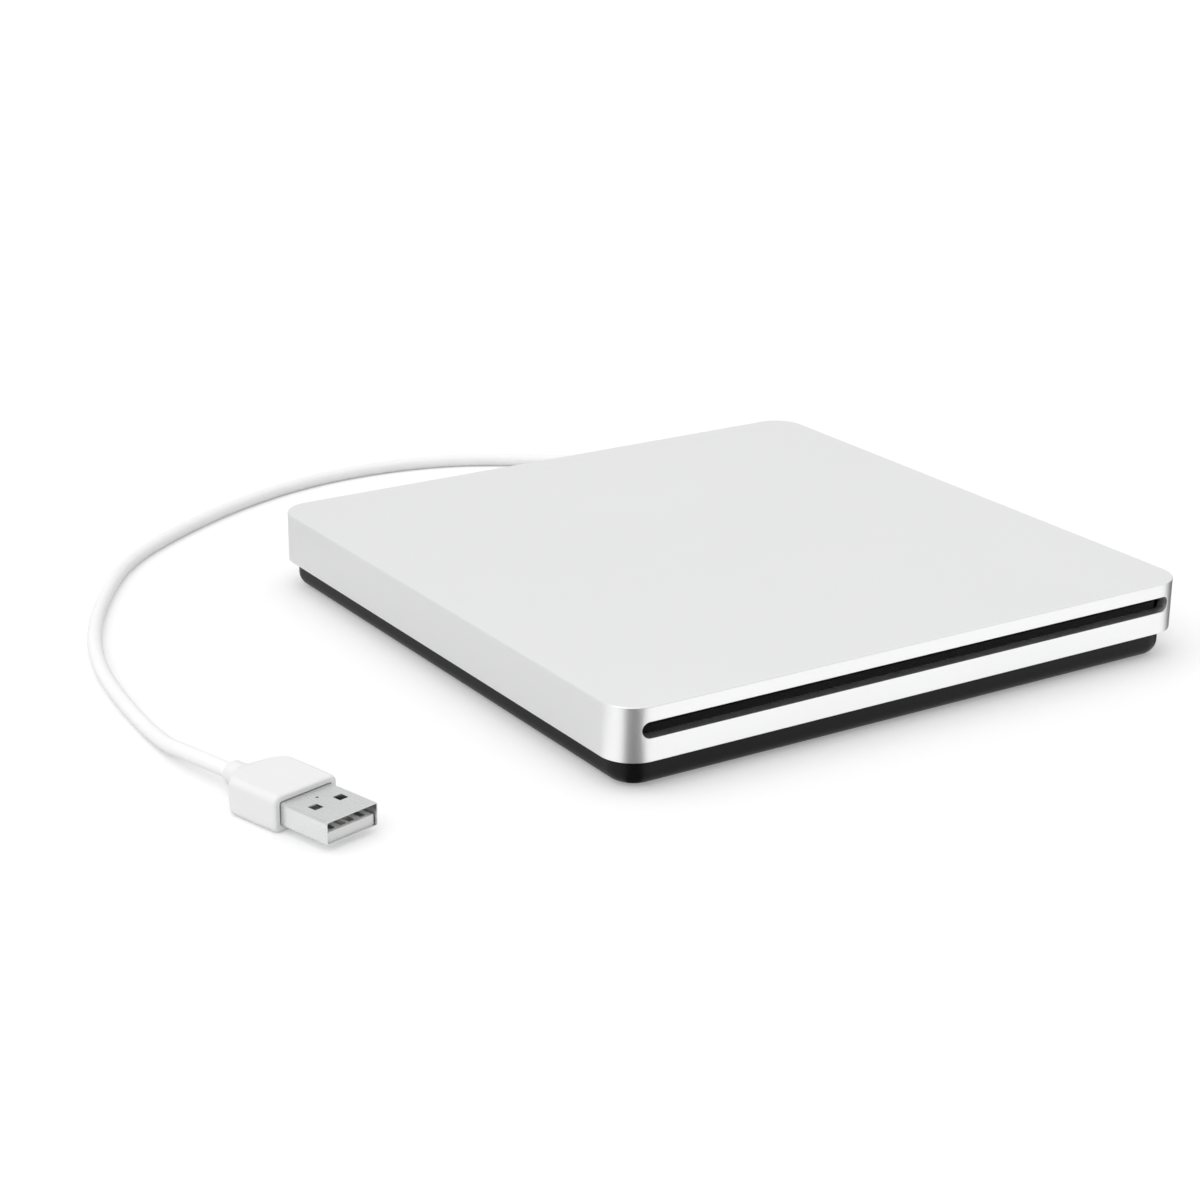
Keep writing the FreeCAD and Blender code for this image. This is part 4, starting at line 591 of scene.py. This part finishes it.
def boolean(obj, tool, operation="DIFFERENCE"):
    """Cuts an object with another, or joins the two, and removes the other."""
    change = obj.modifiers.new("change", "BOOLEAN")
    change.operation = operation
    change.solver = "EXACT"
    change.object = tool
    bpy.context.view_layer.update()
    graph = bpy.context.evaluated_depsgraph_get()
    data = bpy.data.meshes.new_from_object(obj.evaluated_get(graph))
    obj.modifiers.clear()
    obj.data = data
    bpy.data.objects.remove(tool)


def resharpen(obj, sharp=sharp_angle):
    """Marks an object's sharp edges again after booleans."""
    bm = bmesh.new()
    bm.from_mesh(obj.data)
    obj.data = finished_mesh(bm, obj.name, sharp)


def weighted_normals(obj):
    """Lets the large faces decide how the edges beside them shade."""
    change = obj.modifiers.new("normals", "WEIGHTED_NORMAL")
    change.keep_sharp = True
    change.weight = normal_weight


def stands_for(obj, node, look):
    """Puts a finished piece in the place of a CAD node of the housing."""
    if not obj.data.materials:
        obj.data.materials.append(looks[look])
    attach(obj, "housing")
    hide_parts(node)
    return obj


# Shell

def shell_body():
    """The shell without its slot: round at the corners, with a fine round along its top edge."""
    hollow_corner = shell_corner - shell_wall
    rings = []
    for z in (shell_ceiling, shell_rim + rim_bevel):
        rings.append(case_ring(shell_wall, z, hollow_corner, shell_front_inside))
    rings.append(case_ring(shell_wall - rim_bevel, shell_rim, hollow_corner + rim_bevel,
                           shell_front_inside - rim_bevel))
    for sine, cosine in quarter_turn(3):
        inset = rim_edge * (1 - sine)
        rings.append(case_ring(inset, shell_rim + rim_edge * (1 - cosine), shell_corner - inset))
    for sine, cosine in quarter_turn(6):
        inset = shell_edge * (1 - cosine)
        rings.append(case_ring(inset, shell_top - shell_edge * (1 - sine), shell_corner - inset))
    bm = bmesh.new()
    loft(bm, rings)
    return solid("shell", bm)


def slot_cutter():
    """A cutter with round ends, through the front wall and a little way into the hollow."""
    outline = loop_of_points(-slot_half, slot_half, slot_level - slot_radius, slot_level + slot_radius,
                             slot_radius * almost, slot_steps)
    rings = []
    for y in (-case_side - beyond, slot_depth - case_side):
        rings.append([Vector((x, y, z)) * MM for x, z in outline])
    bm = bmesh.new()
    loft(bm, rings)
    return solid("slot_cutter", bm)


def on_slot_wall(point):
    """Whether a point lies on the slot's wall, which is its radius away from its middle line."""
    x = abs(point.x / MM)
    across = math.hypot(max(x - slot_half + slot_radius, 0), point.z / MM - slot_level)
    return abs(across - slot_radius) < slot_play and point.y / MM < slot_depth - case_side


def bevel_slot_and_paint_shade(shell):
    """Breaks the slot's outer edge and gives its walls the black look as painted shade, so that the slot
    reads dark all the way in.
    """
    bm = bmesh.new()
    bm.from_mesh(shell.data)
    walls = [face for face in bm.faces if all(on_slot_wall(vert.co) for vert in face.verts)]
    # The slot's walls take the black look, which paints the shade deep in the slot.
    for face in walls:
        face.material_index = 1
    outer = []
    for face in walls:
        for edge in face.edges:
            others = [other for other in edge.link_faces if other not in walls]
            if others and edge.verts[0].co.y / MM < shell_front_inside - front_margin:
                outer.append(edge)
    bmesh.ops.bevel(bm, geom=outer, offset=slot_edge * MM, segments=2, affect="EDGES", profile=0.5,
                    material=0)
    shell.data = finished_mesh(bm, "shell")
    shell.data.materials.clear()
    shell.data.materials.append(looks["shell"])
    shell.data.materials.append(looks["black"])


def shell_boss(x, y):
    """A boss under the shell's top that takes a screw from below."""
    bore_end = boss_start + bore_depth
    boss_end = shell_ceiling + sunk
    profile = [(core, bore_end), (screw_radius, bore_end), (screw_radius, boss_start + bore_edge),
               (screw_radius + bore_edge, boss_start), (boss_radius - boss_edge, boss_start),
               (boss_radius, boss_start + boss_edge), (boss_radius, boss_end), (core, boss_end)]
    return turned("boss", profile, upright(x, y))


def make_shell():
    """The one-piece metal shell, hollow below, with the disc slot through its front wall."""
    shell = shell_body()
    for x, y, head, tip in screw_places("shell_screws"):
        boolean(shell, shell_boss(x, y), "UNION")
    boolean(shell, slot_cutter())
    bevel_slot_and_paint_shade(shell)
    weighted_normals(shell)
    return stands_for(shell, "top_shell", "shell")


# Tray, pad and screws

def rounded_foot(inset, z, radius, steps):
    """Rings that round the lower edge of the tray or the pad, from its underside up to its side."""
    rings = []
    for sine, cosine in quarter_turn(steps):
        back = radius * (1 - sine)
        rings.append(case_ring(inset + back, z + radius * (1 - cosine), tray_corner - back))
    return rings


def tray_body():
    """The tray with its rounded lower edge, its lip and the recess for the pad."""
    rings = [case_ring(pad_inset - pad_play, z, tray_corner) for z in (pad_high.z, tray_low.z)]
    rings += rounded_foot(tray_inset, tray_low.z, tray_round, 8)
    rings.append(case_ring(tray_inset, tray_top, tray_corner))
    lip_corner = shell_corner - lip_inset
    for inset, z in ((0.0, tray_top), (0.0, tray_high.z - lip_edge), (lip_edge, tray_high.z),
                     (lip_wall, tray_high.z), (lip_wall, lip_foot)):
        rings.append(case_ring(lip_inset + inset, z, lip_corner - inset, lip_front + inset))
    rings += [case_ring(tray_inner, z, tray_inner_corner) for z in (lip_foot, tray_floor)]
    bm = bmesh.new()
    loft(bm, rings)
    return solid("tray", bm)


def screw_boss(tray, x, y, head, radius, top):
    """Raises a boss in the tray and opens its stepped bore for a screw from below."""
    boolean(tray, rod("boss", x, y, tray_floor - sunk, top, radius), "UNION")
    boolean(tray, rod("bore", x, y, -beyond, top + beyond, screw_radius + screw_play))
    boolean(tray, rod("bore", x, y, -beyond, head + head_height, head_radius + screw_play))


def lead_exit(tray):
    """Opens the stepped bore in the rear wall that holds the boot."""
    wall = case_side - tray_inner
    boolean(tray, turned("bore", [(neck_bore, wall - beyond), (neck_bore, case_side)], backward(0)))
    boolean(tray, turned("bore", [(base_radius, wall + base_back), (base_radius, case_side)], backward(0)))


def make_tray():
    """The dark moulded tray, with the bosses that carry the drive and take the shell's screws."""
    tray = tray_body()
    for node, radius, top in (("drive_screws", mount_radius, node_box("drive_chassis")[0].z),
                              ("shell_screws", boss_radius, boss_start)):
        for x, y, head, tip in screw_places(node):
            screw_boss(tray, x, y, head, radius, top)
    lead_exit(tray)
    resharpen(tray)
    weighted_normals(tray)
    return stands_for(tray, "base_tray", "tray")


def make_pad():
    """The rubber pad that the drive stands on, with a rounded edge."""
    rings = rounded_foot(pad_inset, pad_low.z, pad_round, 5)
    rings.append(case_ring(pad_inset, pad_high.z, tray_corner))
    bm = bmesh.new()
    loft(bm, rings)
    pad = solid("pad", bm)
    weighted_normals(pad)
    return stands_for(pad, "foot_pad", "pad")


def screw_profile(head, tip):
    """Half the outline of a flat-headed screw with a rolled thread."""
    seat = head + head_height
    root = screw_radius - thread_depth
    profile = [(core, head), (head_radius - head_edge, head), (head_radius, head + head_edge),
               (head_radius, seat), (screw_radius, seat)]
    height = seat + thread_pitch
    while height + thread_pitch < tip - thread_margin:
        profile.append((root, height))
        profile += [(screw_radius, height + thread_pitch * share) for share in thread_crest]
        height += thread_pitch
    return profile + [(root, tip - tip_length), (tip_radius, tip), (core, tip)]


def cross_recess(screw, x, y, head):
    """Cuts the driver's cross, which narrows upwards, into the underside of a screw's head."""
    for long, wide in ((cross_reach, cross_width / 2), (cross_width / 2, cross_reach)):
        rings = []
        for share, z in ((1.0, head - cross_start), (cross_narrowing, head + cross_depth)):
            rings.append([Vector((x + sx * long * share, y + sy * wide * share, z)) * MM
                          for sx, sy in ((-1, -1), (1, -1), (1, 1), (-1, 1))])
        bm = bmesh.new()
        loft(bm, rings)
        boolean(screw, solid("cross", bm))


def make_screws(name, node):
    """The screws of one group, each with a cross recess."""
    group = None
    for x, y, head, tip in screw_places(node):
        screw = turned(name, screw_profile(head, tip), upright(x, y), screw_sides)
        cross_recess(screw, x, y, head)
        if group is None:
            group = screw
        else:
            boolean(group, screw, "UNION")
    resharpen(group, screw_sharp_angle)
    return stands_for(group, node, "steel")


# Lead, boot and plug

def make_lead():
    """The lead's centre line, laid through the points that the CAD model's lead has."""
    route = [(46, 77.5, 3.3), (46, 88.5, 3.3), (39.5, 100, 1.9), (24.5, 113.5, 1.5), (6.5, 125, 1.5),
             (-15, 129, 1.5), (-36, 127, 1.5), (-56.5, 119.5, 1.5), (-77, 108, 1.5), (-94.5, 95, 1.5),
             (-107, 78, 1.5), (-118.5, 57.5, 1.5), (-125.7, 37, 1.5), (-129, 15.5, 1.5), (-130.5, -5, 1.5),
             (-130.1, -16.8, 3.6), (-127.03, -28.38, 3.6)]
    data = bpy.data.curves.new("lead", "CURVE")
    data.dimensions = "3D"
    data.bevel_depth = cord_radius * MM
    data.bevel_resolution = 6
    data.resolution_u = 10
    data.use_fill_caps = True
    line = data.splines.new("NURBS")
    line.points.add(len(route) - 1)
    for point, at in zip(line.points, route):
        point.co = (*[c * MM for c in at], 1)
    line.order_u = 3
    line.use_endpoint_u = True
    return stands_for(add_object("lead", data), "cord", "cord")


def boot_profile():
    """Half the outline of the strain relief, along its own axis from the flange in the tray's wall."""
    profile = [(core, -flange_back), (flange_radius, -flange_back), (flange_radius, -flange_front),
               (neck_bore, -flange_front), (neck_bore, -base_back), (base_radius, -base_back),
               (base_radius, base_back)]
    length = boot_high.y - boot_root
    step = (length - groove_margin) / boot_grooves
    for number in range(boot_grooves):
        start = groove_start + number * step
        radius = base_radius + (boot_tip_radius - base_radius) * start / length
        profile += [(radius - deep, start + along) for along, deep in groove]
    return profile + [(boot_tip_radius, length - boot_tip_edge_length),
                      (boot_tip_radius - boot_tip_edge, length), (cord_radius - boot_hold, length)]


def make_boot():
    """The tapering strain relief with its rings."""
    bm = bmesh.new()
    lathe(bm, boot_profile(), backward(boot_root))
    return stands_for(solid("boot", bm, boot_sharp_angle), "cord_boot", "white")


def plug_axes():
    """The plug's own axes: +X runs out of its mouth, and the origin is where shell and grip meet."""
    return Matrix.Translation(Vector(plug_place) * MM) @ Matrix.Rotation(math.radians(plug_turn), 4, "Z")


def plug_ring(half_width, half_height, corner, x):
    """A ring round the plug's axis."""
    corner = min(corner, half_width, half_height) * almost
    outline = loop_of_points(-half_width, half_width, -half_height, half_height, corner, 7)
    return [plug_axes() @ (Vector((x, y, z)) * MM) for y, z in outline]


def socket_rings():
    """The shallow socket in the grip's front face, from its closed end inside the plug's shell."""
    in_width, in_height = socket_end_inset
    rings = [plug_ring(plug_half_width - in_width, plug_half_height - in_height, socket_end_corner,
                       -socket_depth)]
    for play, x in ((socket_play, -socket_depth), (socket_flare, 0.0)):
        rings.append(plug_ring(plug_half_width + play, plug_half_height + play, socket_corner, x))
    return rings


def mix(start, end, share):
    return start + (end - start) * share


def ease(share):
    return share * share * (3 - 2 * share)


def shoulder_rings():
    """The stretch where the flat block draws in to the round neck, first in width and then in height."""
    rings = []
    for step in range(1, shoulder_steps + 1):
        share = step / shoulder_steps
        sink = max(0.0, (share - shoulder_sink_start) / (1 - shoulder_sink_start))
        rings.append(plug_ring(mix(grip_half_width, neck_radius, ease(share) ** shoulder_draw),
                               mix(grip_half_height, neck_radius, ease(sink)),
                               mix(grip_round, neck_radius, share),
                               -mix(shoulder_start, shoulder_end, share)))
    return rings


def grip_rings():
    """The grip from its stepped front face back to the collar round the lead."""
    rings = socket_rings()
    for sine, cosine in quarter_turn(4):
        back = grip_edge * (1 - sine)
        rings.append(plug_ring(grip_half_width - back, grip_half_height - back,
                               grip_front_corner + grip_edge * sine, -grip_edge_length * (1 - cosine)))
    for x in (grip_middle, grip_back):
        rings.append(plug_ring(grip_half_width, grip_half_height, grip_round, -x))
    rings += shoulder_rings()
    rings += [plug_ring(radius, radius, radius, -x) for radius, x in grip_collar]
    return rings


def make_grip():
    """The moulded grip: a flat block that draws in to a round collar."""
    bm = bmesh.new()
    loft(bm, grip_rings())
    grip = solid("grip", bm)
    weighted_normals(grip)
    return stands_for(grip, "plug_grip", "white")


def plug_block(x, y, half, z0, z1, corner):
    """An upright square cutter with round edges, in the plug's own axes."""
    outline = loop_of_points(x - half, x + half, y - half, y + half, corner, 3)
    bm = bmesh.new()
    loft(bm, [[plug_axes() @ (Vector((x, y, z)) * MM) for x, y in outline] for z in (z0, z1)])
    return solid("cutter", bm)


def make_plug_shell():
    """The folded sheet shell of the plug, with its latch holes and a pin hole in the upper side."""
    stations = [(0.0, plug_corner, -plug_root)]
    stations += [(inset, corner, plug_reach - back) for inset, corner, back in plug_lip]
    stations.append((plug_sheet, plug_hollow_corner, -plug_root))
    rings = []
    for inset, corner, x in stations:
        rings.append(plug_ring(plug_half_width - inset, plug_half_height - inset, corner, x))
    bm = bmesh.new()
    made = loft(bm, rings, False, False)
    for near in range(len(made[0])):
        far = (near + 1) % len(made[0])
        bm.faces.new((made[-1][near], made[-1][far], made[0][far], made[0][near]))
    shell = solid("plug_tube", bm)
    above = plug_half_height + beyond
    for y in (-latch_offset, latch_offset):
        boolean(shell, plug_block(latch_middle, y, latch_half, -above, above, latch_corner))
    boolean(shell, plug_block(pin_middle, 0, pin_half, 0, above, pin_corner))
    resharpen(shell)
    weighted_normals(shell)
    return stands_for(shell, "plug_shell", "plug_metal")


# Studio

def sector_level(tree, azimuth, sector):
    """The sector's brightness towards its azimuths, and 1 towards the others."""
    middle, half, blur, level = sector
    off = maths(tree, "COSINE", maths(tree, "SUBTRACT", azimuth, math.radians(middle)))
    node = tree.nodes.new("ShaderNodeMapRange")
    node.interpolation_type = "SMOOTHSTEP"
    node.inputs["From Min"].default_value = math.radians(half - blur)
    node.inputs["From Max"].default_value = math.radians(half + blur)
    node.inputs["To Min"].default_value = level
    node.inputs["To Max"].default_value = 1.0
    tree.links.new(maths(tree, "ARCCOSINE", off), node.inputs["Value"])
    return node.outputs["Result"]


def azimuth_of(tree, x, y):
    return maths(tree, "ARCTAN2", x, maths(tree, "MULTIPLY", y, -1.0))


def split_vector(tree, vector):
    node = tree.nodes.new("ShaderNodeSeparateXYZ")
    tree.links.new(vector, node.inputs[0])
    return node.outputs[0], node.outputs[1], node.outputs[2]


def distance_from(tree, x, y):
    """How far a place lies from the origin, in metres."""
    squares = [maths(tree, "MULTIPLY", value, value) for value in (x, y)]
    return maths(tree, "SQRT", maths(tree, "ADD", *squares))


def mirrored_ray(tree, path):
    return maths(tree, "MAXIMUM", path.outputs["Is Glossy Ray"], path.outputs["Is Transmission Ray"])


def studio_round(tree, x, y):
    """How bright the studio is towards a place on the floor, as the case's front corners see it."""
    corner = (case_side - shell_corner) * MM
    level = 1.0
    for side, sector in ((-corner, behind_camera), (-corner, rear_left), (corner, right_side)):
        azimuth = azimuth_of(tree, maths(tree, "SUBTRACT", x, side), maths(tree, "ADD", y, corner))
        level = maths(tree, "MULTIPLY", sector_level(tree, azimuth, sector), level)
    return level


def floor_material():
    """Pale paper that keeps the shadow, and that metal mirrors as the sectors of the studio."""
    mat = bpy.data.materials.new("floor")
    mat.use_nodes = True
    tree = mat.node_tree
    tree.nodes.clear()
    path = tree.nodes.new("ShaderNodeLightPath")
    where = tree.nodes.new("ShaderNodeTexCoord")
    x, y, z = split_vector(tree, where.outputs["Object"])
    mirrored = mirrored_ray(tree, path)
    dimmed = maths(tree, "MULTIPLY", mirrored, maths(tree, "SUBTRACT", 1.0, studio_round(tree, x, y)))
    kept = maths(tree, "SUBTRACT", 1.0, dimmed)
    seen = maths(tree, "MAXIMUM", path.outputs["Is Camera Ray"], mirrored)
    paper = tree.nodes.new("ShaderNodeBsdfDiffuse")
    tree.links.new(maths(tree, "MULTIPLY", kept, floor_colour), paper.inputs["Color"])
    glow = tree.nodes.new("ShaderNodeEmission")
    level = between(tree, distance_from(tree, x, y), floor_glow, far_glow, glow_start, glow_end)
    level = maths(tree, "MULTIPLY", maths(tree, "MULTIPLY", seen, kept), level)
    tree.links.new(level, glow.inputs["Strength"])
    both = tree.nodes.new("ShaderNodeAddShader")
    out = tree.nodes.new("ShaderNodeOutputMaterial")
    tree.links.new(paper.outputs[0], both.inputs[0])
    tree.links.new(glow.outputs[0], both.inputs[1])
    tree.links.new(both.outputs[0], out.inputs[0])
    return mat


def make_floor():
    bm = bmesh.new()
    bm.faces.new([bm.verts.new((sx * floor_half, sy * floor_half, 0))
                  for sx, sy in ((-1, -1), (1, -1), (1, 1), (-1, 1))])
    floor = solid("floor", bm)
    floor.location.z = -floor_drop * MM
    floor.data.materials.append(floor_material())


def softbox(name, azimuth, elevation, distance, side, power):
    """A square lamp that faces the drive, with its sizes in metres and its power in watts."""
    data = bpy.data.lights.new(name, "AREA")
    data.energy = power
    data.shape = "RECTANGLE"
    data.size = side
    data.size_y = side
    lamp = add_object(name, data)
    turn = math.radians(azimuth)
    rise = math.radians(elevation)
    lamp.location = Vector((math.sin(turn) * math.cos(rise), -math.cos(turn) * math.cos(rise),
                            math.sin(rise))) * distance
    lamp.rotation_euler = (-lamp.location).to_track_quat("-Z", "Y").to_euler()


def make_world():
    """White for the camera, the studio for metal and glass, and a fill for the rest."""
    world = bpy.data.worlds.new("world")
    scene.world = world
    world.use_nodes = True
    tree = world.node_tree
    tree.nodes.clear()
    path = tree.nodes.new("ShaderNodeLightPath")
    where = tree.nodes.new("ShaderNodeTexCoord")
    x, y, z = split_vector(tree, where.outputs["Generated"])
    azimuth = azimuth_of(tree, x, y)
    studio = sector_level(tree, azimuth, behind_camera)
    height_level = between(tree, z, mirrored_light, high_light, high_start, high_end)
    studio = maths(tree, "MULTIPLY", studio, height_level)
    camera_ray = path.outputs["Is Camera Ray"]
    mirrored = mirrored_ray(tree, path)
    shown = maths(tree, "MAXIMUM", camera_ray, maths(tree, "MULTIPLY", mirrored, studio))
    rest = maths(tree, "SUBTRACT", 1.0, maths(tree, "MAXIMUM", camera_ray, mirrored))
    fill = maths(tree, "MULTIPLY", sector_level(tree, azimuth, left_wall), room_light)
    sky = tree.nodes.new("ShaderNodeBackground")
    sky.inputs["Color"].default_value = (1, 1, 1, 1)
    tree.links.new(maths(tree, "ADD", shown, maths(tree, "MULTIPLY", rest, fill)), sky.inputs["Strength"])
    out = tree.nodes.new("ShaderNodeOutputWorld")
    tree.links.new(sky.outputs[0], out.inputs[0])


def make_light():
    make_world()
    softbox("key", azimuth=-75, elevation=62, distance=1.6, side=1.8, power=8.0)
    softbox("fill", azimuth=120, elevation=70, distance=1.5, side=1.8, power=3.0)
    scene.view_settings.view_transform = "Standard"


make_camera()
make_floor()
make_light()
dress_nodes()
lead = make_lead()
grip = make_grip()
tube = make_plug_shell()
boot = make_boot()
make_shell()
make_tray()
make_pad()
make_screws("shell_screw_set", "shell_screws")
make_screws("drive_screw_set", "drive_screws")
